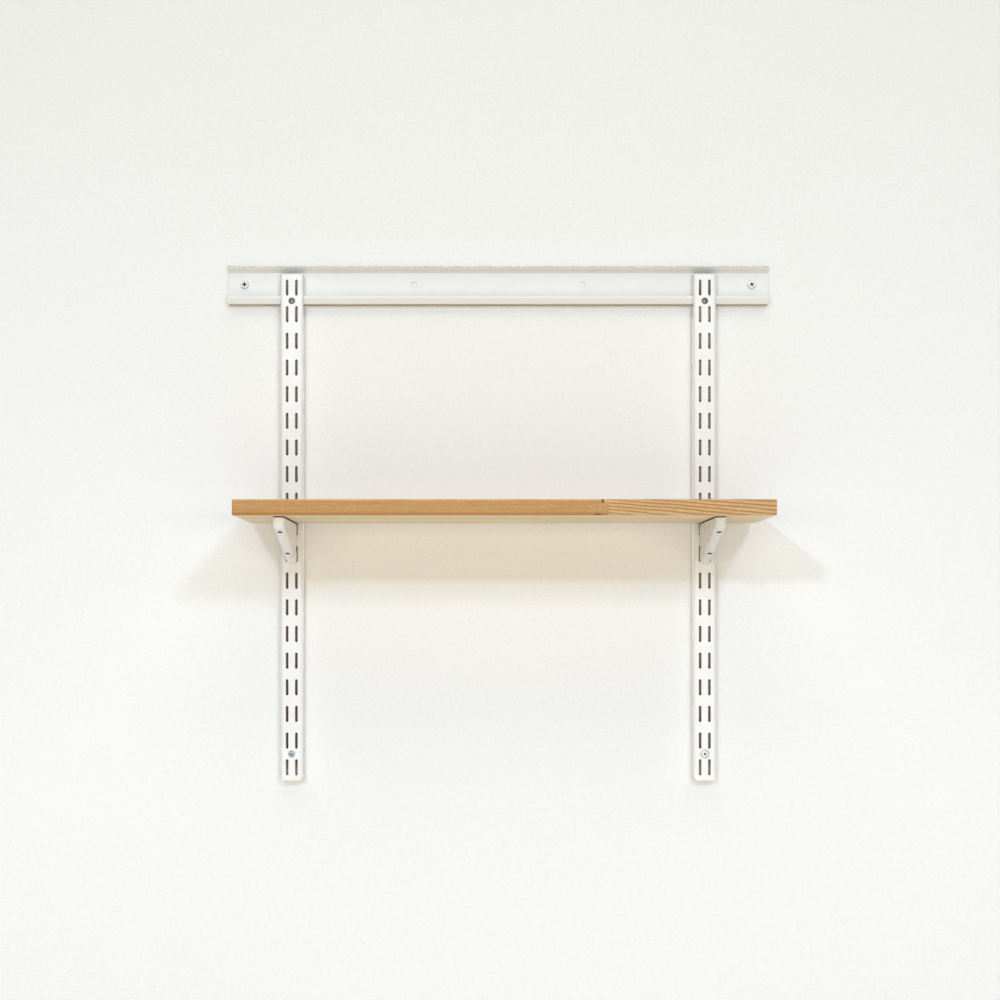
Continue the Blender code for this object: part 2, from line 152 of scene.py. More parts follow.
def flat_mesh(contours, lines=(), extra=(), across=()):
    """(points, triangles) of the flat region inside the first contour and outside the others.

    lines are (value, low, high): the first coordinate held at value, the second from low to high;
    triangle edges follow them, and the contours get a corner where they cross. across are
    (value, low, high) with the second coordinate held, between corners the contour already has.
    """
    marked = {}
    cleaned = []
    for contour in contours:
        ring = []
        for point in contour:
            if not ring or math.dist(ring[-1], point) > 1e-3:
                ring.append(tuple(point))
        if math.dist(ring[0], ring[-1]) <= 1e-3:
            ring.pop()
        full = []
        for i, a in enumerate(ring):
            b = ring[(i + 1) % len(ring)]
            full.append(a)
            cuts = []
            for k, (value, low, high) in enumerate(lines):
                if (a[0] - value) * (b[0] - value) < 0:
                    share = (value - a[0]) / (b[0] - a[0])
                    v = a[1] + share * (b[1] - a[1])
                    if low - 1e-6 <= v <= high + 1e-6:
                        cuts.append((share, (value, v), k))
            for share, point, k in sorted(cuts):
                full.append(point)
        cleaned.append(full)
    points, edges = [], []
    for full in cleaned:
        base = len(points)
        points += full
        edges += [(base + i, base + (i + 1) % len(full)) for i in range(len(full))]
    bounding = len(edges)
    for k, (value, low, high) in enumerate(lines):
        hits = sorted(
            (p[1], i) for i, p in enumerate(points) if abs(p[0] - value) < 1e-7 and low - 1e-3 <= p[1] <= high + 1e-3
        )
        for (v0, i), (v1, j) in zip(hits, hits[1:]):
            middle = np.array([(value, (v0 + v1) / 2)])
            if v1 - v0 > 1e-4 and inside(middle, cleaned)[0]:
                edges.append((i, j))
    for value, low, high in across:
        ends = []
        for target in (low, high):
            best = min(range(len(points)), key=lambda i: abs(points[i][0] - target) + abs(points[i][1] - value))
            ends.append(best)
        edges.append(tuple(ends))
    points += [tuple(p) for p in extra]
    made = delaunay_2d_cdt([Vector(p) for p in points], edges, [], 0, 1e-5, True)
    verts, out_edges, tris, orig_verts, orig_edges = made[0], made[1], made[2], made[3], made[4]
    xy = np.array([points[ids[0]] if ids else (v.x, v.y) for v, ids in zip(verts, orig_verts)])
    walls = set()
    for (i, j), ids in zip(out_edges, orig_edges):
        if any(e < bounding for e in ids):
            walls.add((min(i, j), max(i, j)))
    owner = {}
    parent = list(range(len(tris)))

    def root(i):
        while parent[i] != i:
            parent[i] = parent[parent[i]]
            i = parent[i]
        return i

    for t, tri in enumerate(tris):
        for i, j in ((tri[0], tri[1]), (tri[1], tri[2]), (tri[2], tri[0])):
            edge = (min(i, j), max(i, j))
            if edge in walls:
                continue
            if edge in owner:
                parent[root(t)] = root(owner[edge])
            else:
                owner[edge] = t
    tris = np.array([list(t) for t in tris])
    a, b, c = xy[tris[:, 0]], xy[tris[:, 1]], xy[tris[:, 2]]
    size = (b[:, 0] - a[:, 0]) * (c[:, 1] - a[:, 1]) - (b[:, 1] - a[:, 1]) * (c[:, 0] - a[:, 0])
    tris[size < 0] = tris[size < 0][:, ::-1]
    groups = {}
    for t in range(len(tris)):
        best = groups.setdefault(root(t), t)
        if abs(size[t]) > abs(size[best]):
            groups[root(t)] = t
    centres = (a + b + c) / 3
    names = list(groups)
    keep = dict(zip(names, inside(centres[[groups[n] for n in names]], cleaned)))
    chosen = tris[[bool(keep[root(t)]) for t in range(len(tris))]]
    used = np.unique(chosen)
    index = np.full(len(xy), -1)
    index[used] = np.arange(len(used))
    return xy[used], index[chosen]


# ================================================================= folded sheet
class Fold:
    """The middle line of a folded sheet in its section plane, by length along it."""

    def __init__(self, corners, radius):
        points = [np.array(p, float) for p in corners]
        self.parts = []
        self.length = 0.0
        at = points[0]
        for i in range(1, len(points)):
            run = points[i] - points[i - 1]
            run /= np.linalg.norm(run)
            if i == len(points) - 1:
                self._line(at, points[i])
                break
            ahead = points[i + 1] - points[i]
            ahead /= np.linalg.norm(ahead)
            turn = math.atan2(run[0] * ahead[1] - run[1] * ahead[0], float(run @ ahead))
            cut = radius * math.tan(abs(turn) / 2)
            self._line(at, points[i] - run * cut)
            side = math.copysign(1, turn)
            left = np.array((-run[1], run[0])) * side
            centre = points[i] - run * cut + left * radius
            start = math.atan2(*(-left)[::-1])
            self.parts.append(("arc", self.length, radius * abs(turn), centre, start, side, radius))
            self.length += radius * abs(turn)
            at = points[i] + ahead * cut

    def _line(self, a, b):
        size = float(np.linalg.norm(b - a))
        self.parts.append(("line", self.length, size, a, (b - a) / size, 0, 0))
        self.length += size

    def at(self, u):
        """(point, tangent, the side on the right of the run)."""
        for kind, start, size, a, b, side, radius in self.parts:
            if u <= start + size + 1e-9 or (kind, start) == (self.parts[-1][0], self.parts[-1][1]):
                if kind == "line":
                    point, tangent = a + b * (u - start), b
                else:
                    angle = b + side * (u - start) / radius
                    ray = np.array((math.cos(angle), math.sin(angle)))
                    point, tangent = a + ray * radius, np.array((-ray[1], ray[0])) * side
                return point, tangent, np.array((tangent[1], -tangent[0]))
        raise ValueError(u)

    def bends(self, most=9.0):
        """Lengths at which the bends are cut into facets."""
        lines = []
        for kind, start, size, a, b, side, radius in self.parts:
            if kind == "arc":
                steps = max(2, math.ceil(math.degrees(size / radius) / most))
                lines += [start + size * k / steps for k in range(steps + 1)]
        return lines


# ================================================================= sheet to solid
def thick_sheet(mid, nrm, tris, thick, edge, steps=3):
    """Closed shell around a middle surface, with its cut edges rounded: verts, faces, normals, rim."""
    mid, nrm, tris = np.asarray(mid, float), np.asarray(nrm, float), np.asarray(tris)
    n = len(mid)
    ahead, behind = {}, {}
    directed = set()
    for a, b, c in tris.tolist():
        directed.update(((a, b), (b, c), (c, a)))
    for i, j in directed:
        if (j, i) not in directed:
            ahead[i] = j
            behind[j] = i
    rim = sorted(ahead)
    place = {v: k for k, v in enumerate(rim)}
    here = mid[rim]
    before = mid[[behind[v] for v in rim]]
    after = mid[[ahead[v] for v in rim]]
    up = nrm[rim]

    def unit(v):
        return v / np.maximum(np.linalg.norm(v, axis=1), 1e-12)[:, None]

    out1, out2 = unit(np.cross(here - before, up)), unit(np.cross(after - here, up))
    out = unit(out1 + out2)
    reach = np.minimum(1 / np.sqrt(np.maximum((1 + (out1 * out2).sum(1)) / 2, 0.05)), 1.6)[:, None]

    rings = []
    for k in range(steps + 1):
        a = k / steps * math.pi / 2
        rings.append((-edge + edge * math.sin(a), thick / 2 - edge + edge * math.cos(a), math.sin(a), math.cos(a)))
    rings += [(o, -h, s, -c) for o, h, s, c in reversed(rings)]

    verts = np.concatenate([mid + nrm * thick / 2, mid - nrm * thick / 2])
    normals = np.concatenate([nrm, -nrm])
    # 1 along the cut edges, -1 on the far side of the sheet
    marks = np.concatenate([np.zeros(n), -np.ones(n)])
    blocks = []
    for k, (o, h, s, c) in enumerate(rings):
        spot = here + out * reach * o + up * h
        if k == 0:
            verts[rim] = spot
            blocks.append(np.array(rim))
        elif k == len(rings) - 1:
            verts[np.array(rim) + n] = spot
            blocks.append(np.array(rim) + n)
        else:
            blocks.append(len(verts) + np.arange(len(rim)))
            verts = np.concatenate([verts, spot])
            normals = np.concatenate([normals, unit(out * s + up * c)])
            marks = np.concatenate([marks, np.ones(len(rim))])
    faces = [tuple(t) for t in tris.tolist()] + [(c + n, b + n, a + n) for a, b, c in tris.tolist()]
    for i in rim:
        p, q = place[i], place[ahead[i]]
        for low, high in zip(blocks, blocks[1:]):
            faces.append((int(low[p]), int(high[p]), int(high[q]), int(low[q])))
    return verts, faces, normals, marks


def piece(name, verts, faces, finishes, normals=None, marks=None, which=None, sharp=None):
    """A named object from millimetre coordinates in the row frame."""
    data = bpy.data.meshes.new(name)
    data.from_pydata((np.asarray(verts) * MM).tolist(), [], [tuple(int(i) for i in f) for f in faces])
    for finish in finishes if isinstance(finishes, (list, tuple)) else [finishes]:
        data.materials.append(finish)
    if which is not None:
        data.polygons.foreach_set("material_index", np.asarray(which, np.int32))
    data.shade_smooth()
    if sharp is not None:
        data.set_sharp_from_angle(angle=math.radians(sharp))
    if marks is not None:
        attribute = data.attributes.new("edge", "FLOAT", "POINT")
        attribute.data.foreach_set("value", np.asarray(marks, np.float32))
    data.update()
    if normals is not None:
        data.normals_split_custom_set_from_vertices(np.asarray(normals).tolist())
    made = bpy.data.objects.new(name, data)
    bpy.context.scene.collection.objects.link(made)
    return made


def stands_for(obj, node, body):
    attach(obj, body)
    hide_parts(node)
    return obj


# ================================================================= materials
class Graph:
    """A material's nodes, written as expressions."""

    def __init__(self, name):
        self.material = bpy.data.materials.new(name)
        self.material.use_nodes = True
        self.tree = self.material.node_tree
        self.tree.nodes.clear()
        self.output = self.new("ShaderNodeOutputMaterial")
        self.where = self.new("ShaderNodeTexCoord").outputs["Object"]

    def new(self, kind, **settings):
        node = self.tree.nodes.new(kind)
        for key, value in settings.items():
            setattr(node, key, value)
        return node

    def put(self, socket, value):
        if isinstance(value, bpy.types.NodeSocket):
            self.tree.links.new(value, socket)
        elif value is not None:
            socket.default_value = value

    def math(self, operation, a, b=None, c=None, clamp=False):
        node = self.new("ShaderNodeMath", operation=operation, use_clamp=clamp)
        for socket, value in zip(node.inputs, (a, b, c)):
            self.put(socket, value)
        return node.outputs[0]

    def add(self, a, b):
        return self.math("ADD", a, b)

    def mul(self, a, b):
        return self.math("MULTIPLY", a, b)

    def xyz(self, vector):
        node = self.new("ShaderNodeSeparateXYZ")
        self.put(node.inputs[0], vector)
        return node.outputs[0], node.outputs[1], node.outputs[2]

    def vec(self, x, y, z):
        node = self.new("ShaderNodeCombineXYZ")
        for socket, value in zip(node.inputs, (x, y, z)):
            self.put(socket, value)
        return node.outputs[0]

    def noise(self, vector, scale, detail=2.0, rough=0.5, twist=0.0):
        node = self.new("ShaderNodeTexNoise")
        self.put(node.inputs["Vector"], vector)
        self.put(node.inputs["Scale"], scale)
        self.put(node.inputs["Detail"], detail)
        self.put(node.inputs["Roughness"], rough)
        self.put(node.inputs["Distortion"], twist)
        return node.outputs[0]

    def chance(self, value):
        """Three even random numbers from one number."""
        node = self.new("ShaderNodeTexWhiteNoise", noise_dimensions="1D")
        self.put(node.inputs["W"], value)
        return self.xyz(node.outputs["Color"])

    def span(self, value, a, b, c=0.0, d=1.0, smooth=True):
        node = self.new("ShaderNodeMapRange", interpolation_type="SMOOTHSTEP" if smooth else "LINEAR")
        for socket, v in zip(node.inputs, (value, a, b, c, d)):
            self.put(socket, v)
        return node.outputs[0]

    def mix(self, share, a, b, mode="MIX"):
        node = self.new("ShaderNodeMix", data_type="RGBA", blend_type=mode)
        self.put(node.inputs[0], share)
        for socket, value in ((node.inputs[6], a), (node.inputs[7], b)):
            self.put(socket, (*value, 1.0) if isinstance(value, tuple) and len(value) == 3 else value)
        return node.outputs[2]

    def specks(self, scale, size, share):
        """Small round marks, in a share of the cells."""
        node = self.new("ShaderNodeTexVoronoi", feature="F1")
        self.put(node.inputs["Vector"], self.where)
        self.put(node.inputs["Scale"], scale)
        red = self.xyz(node.outputs["Color"])[0]
        near = self.span(node.outputs["Distance"], size * scale * 1.25, size * scale * 0.75)
        return self.mul(near, self.math("LESS_THAN", red, share))

    def bump(self, height, distance, strength=1.0, normal=None):
        node = self.new("ShaderNodeBump")
        self.put(node.inputs["Height"], height)
        self.put(node.inputs["Distance"], distance)
        self.put(node.inputs["Strength"], strength)
        self.put(node.inputs["Normal"], normal)
        return node.outputs[0]

    def shader(self, colour, roughness, normal=None, **constants):
        node = self.new("ShaderNodeBsdfPrincipled")
        self.put(node.inputs["Base Color"], (*colour, 1.0) if isinstance(colour, tuple) else colour)
        self.put(node.inputs["Roughness"], roughness)
        self.put(node.inputs["Normal"], normal)
        for key, value in constants.items():
            node.inputs[key.replace("_", " ")].default_value = value
        self.put(self.output.inputs[0], node.outputs[0])
        return self.material


def powder_coat(name, light, dull, gloss=0.42, peel=1.0, cut=0.3, inner=None, inner_from=1.0, covered=False, scuff_and_shade=0.0, painted_height_light=False):
    """Stove-enamelled steel: faint orange peel, broad tone drift, dust, thin coat along cut edges, and painted light
    and shade where asked.
    """
    g = Graph(name)
    broad = g.noise(g.where, 7.0, 3.0, 0.55)
    cloud = g.noise(g.where, 95.0, 3.0, 0.6)
    tone = g.mix(g.span(broad, 0.35, 0.68), light, dull)
    tone = g.mix(g.mul(g.span(cloud, 0.45, 0.75), 0.22), tone, tuple(0.93 * c for c in dull))
    x, y, z = g.xyz(g.where)
    mark = g.new("ShaderNodeAttribute", attribute_name="edge").outputs["Fac"]
    if scuff_and_shade:
        rub = g.noise(g.vec(g.mul(x, 160.0), g.mul(y, 45.0), g.mul(z, 120.0)), 1.0, 4.0, 0.65)
        tone = g.mix(g.span(rub, 0.50, 0.72, 0.0, scuff_and_shade), tone, (0.60, 0.575, 0.52))
        # Painted shade: the right bracket is a little darker than the left
        tone = g.mix(1.0, tone, g.mix(g.math("GREATER_THAN", x, 0.0), (1.005, 1.005, 1.005), (0.905, 0.90, 0.90)), "MULTIPLY")
    if painted_height_light:
        # Painted light: darker above the shelf than below it, and lighter below it on the right upright than on the
        # left
        low = g.span(z, -0.28, -0.46)
        side = g.math("GREATER_THAN", x, 0.0)
        tone = g.mix(1.0, tone, g.mix(low, (0.945, 0.940, 0.930), g.mix(side, (1.02, 1.02, 1.03), (1.055, 1.055, 1.065))), "MULTIPLY")
    if inner:
        # Painted shade on the hollow side of the sheet
        hollow_shade = g.mul(g.span(mark, -0.4, -0.9), g.math("LESS_THAN", y, inner_from))
        tone = g.mix(hollow_shade, tone, inner)
    if covered:
        # Painted light: the top flange a little lighter, and the lip a little yellower as painted warm light thrown up
        # from the board
        tone = g.mix(g.math("LESS_THAN", y, -0.0080), tone, g.mix(g.math("GREATER_THAN", z, 0.0), (0.800, 0.785, 0.735), (0.870, 0.855, 0.815)))
        # Painted shade where the uprights cover the rail
        side = g.math("ABSOLUTE", g.math("SUBTRACT", g.math("ABSOLUTE", x), 0.248))
        facing = g.xyz(g.new("ShaderNodeNewGeometry").outputs["Normal"])[1]
        rail_shade_behind_upright = g.mul(g.mul(g.span(side, 0.0124, 0.0112), g.span(z, 0.0095, 0.0075)), g.math("LESS_THAN", facing, 0.3))
        # painted shade behind the hole in the upright: darkest in a ring round it, with a lighter spot in its middle
        dz = g.add(z, 0.02140)
        out = g.math("SQRT", g.add(g.mul(side, side), g.mul(dz, dz)))
        tone = g.mix(rail_shade_behind_upright, tone, g.mix(g.span(out, 0.0070, 0.0045), (0.42, 0.37, 0.33), (0.155, 0.150, 0.115)))
        spot = g.span(out, 0.0030, 0.0016)
        tone = g.mix(g.mul(spot, g.math("LESS_THAN", facing, 0.3)), tone, (0.42, 0.41, 0.41))
        # painted shade under the lower flange
        down = g.span(g.xyz(g.new("ShaderNodeNewGeometry").outputs["Normal"])[2], -0.35, -0.85)
        tone = g.mix(g.mul(down, g.math("LESS_THAN", z, -0.023)), tone, (0.34, 0.285, 0.21))
    # Thin coat along the cut edges; with a large cut, as on the rail and the white screws, it is also painted shade
    # along their outlines
    edge = g.math("MAXIMUM", mark, 0.0)
    thin_coat_and_edge_shade = g.mul(edge, g.span(g.noise(g.where, 260.0, 2.0), 0.35, 0.7, 0.35 * cut, 1.4 * cut))
    tone = g.mix(thin_coat_and_edge_shade, tone, (0.50, 0.48, 0.44))
    if scuff_and_shade:
        # Painted shade on the walls of the access holes
        near = g.math("ABSOLUTE", g.math("SUBTRACT", g.math("ABSOLUTE", x), 0.248))
        hole_wall_shade = g.mul(g.math("LESS_THAN", near, 0.0040), g.mul(g.math("LESS_THAN", z, -0.2925), g.math("LESS_THAN", y, -0.03)))
        tone = g.mix(g.mul(g.mul(edge, hole_wall_shade), 0.85), tone, (0.105, 0.060, 0.042))
    chips = g.mul(edge, g.span(g.noise(g.where, 420.0, 3.0, 0.6), 0.66, 0.70))
    tone = g.mix(g.mul(chips, 0.55), tone, (0.40, 0.35, 0.29))
    tone = g.mix(g.mul(g.specks(70.0, 0.00022, 0.16), 0.55), tone, (0.45, 0.40, 0.33))
    fine = g.noise(g.where, 1500.0, 2.0, 0.5)
    orange = g.noise(g.where, 520.0, 2.0, 0.45)
    normal = g.bump(orange, 0.00005 * peel, 0.55)
    normal = g.bump(fine, 0.00001 * peel, 0.5, normal)
    rough = g.add(g.span(cloud, 0.3, 0.7, gloss - 0.05, gloss + 0.09), g.mul(thin_coat_and_edge_shade, 0.25))
    return g.shader(tone, rough, normal)


def dark_recess(name="screw_recess", deep=(0.030, 0.024, 0.020), worn=(0.11, 0.095, 0.085)):
    """Inside of a driver recess: bare, oily and scuffed, and darkened further as painted shade."""
    g = Graph(name)
    scuff = g.noise(g.where, 2400.0, 3.0, 0.6)
    tone = g.mix(g.span(scuff, 0.4, 0.7), deep, worn)
    return g.shader(tone, g.span(scuff, 0.3, 0.7, 0.35, 0.6), g.bump(scuff, 0.00004, 0.5), Metallic=0.3)


def zinc_plate():
    g = Graph("zinc_plate")
    bloom = g.noise(g.where, 600.0, 3.0, 0.6)
    x, y, z = g.xyz(g.where)
    turned = g.noise(g.vec(g.mul(x, 3000.0), g.mul(y, 300.0), g.mul(z, 3000.0)), 1.0, 2.0)
    tone = g.mix(g.span(bloom, 0.35, 0.7), (0.36, 0.43, 0.53), (0.50, 0.54, 0.58))
    tone = g.mix(g.mul(g.span(turned, 0.55, 0.75), 0.4), tone, (0.34, 0.38, 0.44))
    edge = g.new("ShaderNodeAttribute", attribute_name="edge").outputs["Fac"]
    tone = g.mix(g.mul(edge, 0.35), tone, (0.80, 0.82, 0.84))
    return g.shader(tone, g.span(turned, 0.3, 0.7, 0.30, 0.52), g.bump(turned, 0.00002, 0.4), Metallic=0.85)


def nylon():
    g = Graph("grey_nylon")
    haze = g.noise(g.where, 240.0, 3.0, 0.6)
    flow = g.noise(g.where, 1800.0, 2.0, 0.5)
    tone = g.mix(g.span(haze, 0.35, 0.7), (0.36, 0.38, 0.40), (0.47, 0.48, 0.49))
    return g.shader(tone, g.span(haze, 0.3, 0.7, 0.42, 0.58), g.bump(flow, 0.00004, 0.5))


def laminated_pine():
    """Edge-glued staves along x, each cut from its own log, with the front stave's joint."""
    g = Graph("laminated_pine")
    x, y, z = g.xyz(g.where)
    stave = 0.0405
    row = g.math("FLOOR", g.mul(g.add(y, 0.2165), 1 / stave))
    first = g.math("LESS_THAN", row, 0.5)
    a, b, c = g.chance(g.add(row, 3.7))
    # Joints: the front stave's is stepped, the others are straight across and staggered
    stepped = g.span(z, -0.2768, -0.2749, 0.1206, 0.1142, smooth=False)
    front_part = g.math("GREATER_THAN", x, stepped)
    run = g.add(g.mul(b, 0.16), 0.31)
    other_part = g.math("FLOOR", g.math("DIVIDE", g.add(x, g.mul(a, 0.6)), run))
    part = g.add(g.mul(first, front_part), g.mul(g.math("SUBTRACT", 1.0, first), g.add(other_part, 20.0)))
    key = g.add(g.mul(row, 7.31), g.mul(part, 13.77))
    r1, r2, r3 = g.chance(g.add(key, 0.5))
    s1, s2, s3 = g.chance(g.add(key, 91.5))
    right = g.mul(first, front_part)
    left = g.mul(first, g.math("SUBTRACT", 1.0, front_part))
    shifted = g.vec(g.add(x, g.mul(r1, 5.0)), g.add(y, g.mul(r2, 5.0)), g.add(z, g.mul(r3, 5.0)))

    # Year rings about a pith outside the stave, drifting as the trunk tapers and bends
    middle = g.add(g.mul(g.add(row, 0.5), stave), -0.2165)
    across = g.math("SUBTRACT", y, g.add(g.add(middle, g.mul(right, 0.055)), g.mul(g.add(s1, -0.5), 0.036)))
    up = g.add(z, g.add(0.2796, g.mul(g.add(g.mul(g.math("GREATER_THAN", s2, 0.5), 2.0), -1.0), g.add(0.028, g.mul(s3, 0.055)))))
    up = g.add(up, g.mul(x, g.add(g.mul(g.add(r1, -0.5), 0.05), g.mul(right, 0.060))))
    radius = g.math("SQRT", g.add(g.mul(across, across), g.mul(up, up)))
    sx, sy, sz = g.xyz(shifted)
    drift = g.noise(g.vec(g.mul(sx, 3.2), g.mul(sy, 11.0), g.mul(sz, 11.0)), 1.0, 2.0, 0.5)
    wobble = g.noise(g.vec(g.mul(sx, 22.0), g.mul(sy, 90.0), g.mul(sz, 90.0)), 1.0, 2.0, 0.5)
    radius = g.add(radius, g.add(g.mul(drift, 0.016), g.mul(wobble, 0.0015)))
    spacing = g.add(g.add(0.0021, g.mul(r2, 0.0016)), g.mul(right, g.math("SUBTRACT", 0.0012, g.mul(r2, 0.0016))))
    rings = g.math("FRACT", g.math("DIVIDE", radius, spacing))
    late = g.mul(g.span(rings, 0.36, 0.86), g.span(rings, 0.99, 0.91))
    fibre = g.noise(g.vec(g.mul(sx, 16.0), g.mul(sy, 900.0), g.mul(sz, 900.0)), 1.0, 4.0, 0.65)
    streak = g.noise(g.vec(g.mul(sx, 5.0), g.mul(sy, 240.0), g.mul(sz, 240.0)), 1.0, 3.0, 0.6)
    pore = g.span(g.noise(g.vec(g.mul(sx, 90.0), g.mul(sy, 2600.0), g.mul(sz, 2600.0)), 1.0, 2.0, 0.6), 0.62, 0.72)
    fleck = g.noise(g.vec(g.mul(sx, 150.0), g.mul(sy, 480.0), g.mul(sz, 480.0)), 1.0, 3.0, 0.65)
    mottle = g.noise(g.vec(g.mul(sx, 60.0), g.mul(sy, 300.0), g.mul(sz, 300.0)), 1.0, 3.0, 0.6)

    early = g.mix(r3, (0.57, 0.350, 0.150), (0.64, 0.415, 0.195))
    early = g.mix(g.mul(s1, 0.5), early, (0.53, 0.295, 0.112))
    early = g.mix(left, early, (0.530, 0.285, 0.092))
    early = g.mix(right, early, (0.640, 0.405, 0.180))
    dark = g.mix(g.add(g.mul(right, 0.25), 0.2), (0.33, 0.150, 0.042), (0.41, 0.205, 0.068))
    depth = g.add(g.add(0.46, g.mul(s3, 0.22)), g.add(g.mul(right, 0.42), g.mul(left, -0.30)))
    tone = g.mix(g.mul(late, depth), early, dark)
    tone = g.mix(g.span(fibre, 0.36, 0.70, 0.0, 0.34), tone, dark)
    tone = g.mix(g.span(fleck, 0.52, 0.74, 0.0, 0.42), tone, dark)
    tone = g.mix(g.span(fleck, 0.46, 0.26, 0.0, 0.40), tone, (0.74, 0.50, 0.235))
    tone = g.mix(g.span(streak, 0.42, 0.25, 0.0, 0.30), tone, (0.76, 0.54, 0.28))
    tone = g.mix(g.mul(g.span(mottle, 0.45, 0.75), g.add(0.10, g.mul(left, 0.20))), tone, (0.47, 0.205, 0.085))
    tone = g.mix(g.mul(pore, 0.28), tone, (0.24, 0.11, 0.04))

    # Bare underside: paler and greyer than the oiled top and edges
    facing = g.xyz(g.new("ShaderNodeNewGeometry").outputs["Normal"])[2]
    below = g.span(facing, -0.86, -0.97)
    bare_underside_and_gap_shade = g.mix(g.mul(late, 0.34), (0.88, 0.705, 0.455), (0.62, 0.445, 0.24))
    bare_underside_and_gap_shade = g.mix(g.span(fibre, 0.45, 0.75, 0.0, 0.28), bare_underside_and_gap_shade, (0.62, 0.47, 0.28))
    bare_underside_and_gap_shade = g.mix(g.mul(g.span(streak, 0.56, 0.70), 0.50), bare_underside_and_gap_shade, (0.47, 0.365, 0.25))
    bare_underside_and_gap_shade = g.mix(g.span(r2, 0.25, 0.85, 0.0, 0.55, smooth=False), bare_underside_and_gap_shade, (0.66, 0.53, 0.36))
    # Painted shade where the brackets lie against it, in the gap over their cheeks
    side = g.math("ABSOLUTE", g.math("SUBTRACT", g.math("ABSOLUTE", x), 0.248))
    bracket_gap_shade = g.mul(g.span(side, 0.0069, 0.0063), g.math("GREATER_THAN", y, -0.1952))
    bare_underside_and_gap_shade = g.mix(g.mul(bracket_gap_shade, 0.95), bare_underside_and_gap_shade, (0.130, 0.052, 0.028))
    tone = g.mix(g.mul(below, 0.94), tone, bare_underside_and_gap_shade)
    # Painted light: the top is a little paler than the edges, so it throws more light onto the wall above
    tone = g.mix(g.mul(g.span(facing, 0.6, 0.95), 0.22), tone, (0.80, 0.62, 0.38))

    # Front edge: a lighter line along its top, and a dark line along the foot as painted shade under its lower edge
    front = g.math("LESS_THAN", y, -0.2154)
    top_line = g.mul(g.mul(front, g.span(z, -0.27245, -0.27170)), g.span(g.noise(g.vec(g.mul(x, 14.0), 0.0, 0.0), 1.0), 0.3, 0.6, 0.25, 0.75))
    tone = g.mix(g.mul(top_line, g.math("SUBTRACT", 1.0, g.mul(right, 0.6))), tone, (0.72, 0.50, 0.245))
    foot_line = g.mul(g.mul(left, g.math("LESS_THAN", y, -0.2150)), g.span(z, -0.28380, -0.28640))
    tone = g.mix(g.mul(foot_line, 0.72), tone, (0.38, 0.165, 0.035))

    # Glue lines between staves and at the joints
    frac = g.math("FRACT", g.mul(g.add(y, 0.2165), 1 / stave))
    seam = g.math("MINIMUM", frac, g.math("SUBTRACT", 1.0, frac))
    seam = g.mul(g.span(seam, 0.011, 0.004), g.math("LESS_THAN", y, -0.0200))
    seam = g.mul(seam, g.math("GREATER_THAN", y, -0.2130))
    along = g.math("FRACT", g.math("DIVIDE", g.add(x, g.mul(a, 0.6)), run))
    butt = g.mul(g.span(g.math("MINIMUM", along, g.math("SUBTRACT", 1.0, along)), 0.0014, 0.0006), g.math("SUBTRACT", 1.0, first))
    joint = g.mul(first, g.span(g.math("ABSOLUTE", g.math("SUBTRACT", x, stepped)), 0.00035, 0.00012))
    glue = g.math("MAXIMUM", g.mul(seam, g.add(0.42, g.mul(below, 0.40))), g.math("MAXIMUM", g.mul(butt, 0.55), g.mul(joint, 0.45)))
    tone = g.mix(glue, tone, (0.24, 0.125, 0.055))

    # Two small voids at the front joint
    def void(cx, cz, wide, tall):
        dx = g.mul(g.add(x, -cx), 1 / wide)
        dz = g.mul(g.add(z, -cz), 1 / tall)
        return g.mul(front, g.span(g.add(g.mul(dx, dx), g.mul(dz, dz)), 1.15, 0.55))

    marks = g.math("MAXIMUM", void(0.1142, -0.27235, 0.00150, 0.0026), g.mul(void(0.1085, -0.28765, 0.0046, 0.0011), 0.85))
    tone = g.mix(g.mul(marks, 0.86), tone, (0.085, 0.030, 0.010))

    height = g.add(g.mul(fibre, 0.6), g.add(g.mul(late, 0.25), g.mul(pore, -0.5)))
    height = g.add(height, g.mul(g.math("MAXIMUM", glue, marks), -1.2))
    normal = g.bump(height, 0.00011, 0.5)
    rough = g.span(g.add(fibre, g.mul(late, -0.25)), 0.2, 0.7, 0.44, 0.66)
    return g.shader(tone, rough, normal, Specular_IOR_Level=0.28)


# One white paint in lighter and darker copies: the rail's is darker, as painted shade under its top flange
WHITE = powder_coat("white_powder_coat", (0.915, 0.912, 0.895), (0.885, 0.880, 0.860), inner=(0.70, 0.685, 0.65), painted_height_light=True)
WHITE_RAIL = powder_coat("white_powder_coat_rail", (0.800, 0.788, 0.755), (0.770, 0.756, 0.720), cut=0.95, covered=True)
WHITE_BRACKET = powder_coat("white_powder_coat_bracket", (0.885, 0.872, 0.845), (0.85, 0.835, 0.80), inner=(0.13, 0.105, 0.085), inner_from=-0.0168, scuff_and_shade=0.42)
WHITE_SCREW = powder_coat("white_screw_paint", (0.875, 0.865, 0.845), (0.82, 0.81, 0.785), 0.34, 0.5, cut=0.85)
RECESS = dark_recess()
ZINC_RECESS = dark_recess("zinc_recess", (0.15, 0.19, 0.25), (0.36, 0.40, 0.46))
ZINC = zinc_plate()
NYLON = nylon()
PINE = laminated_pine()


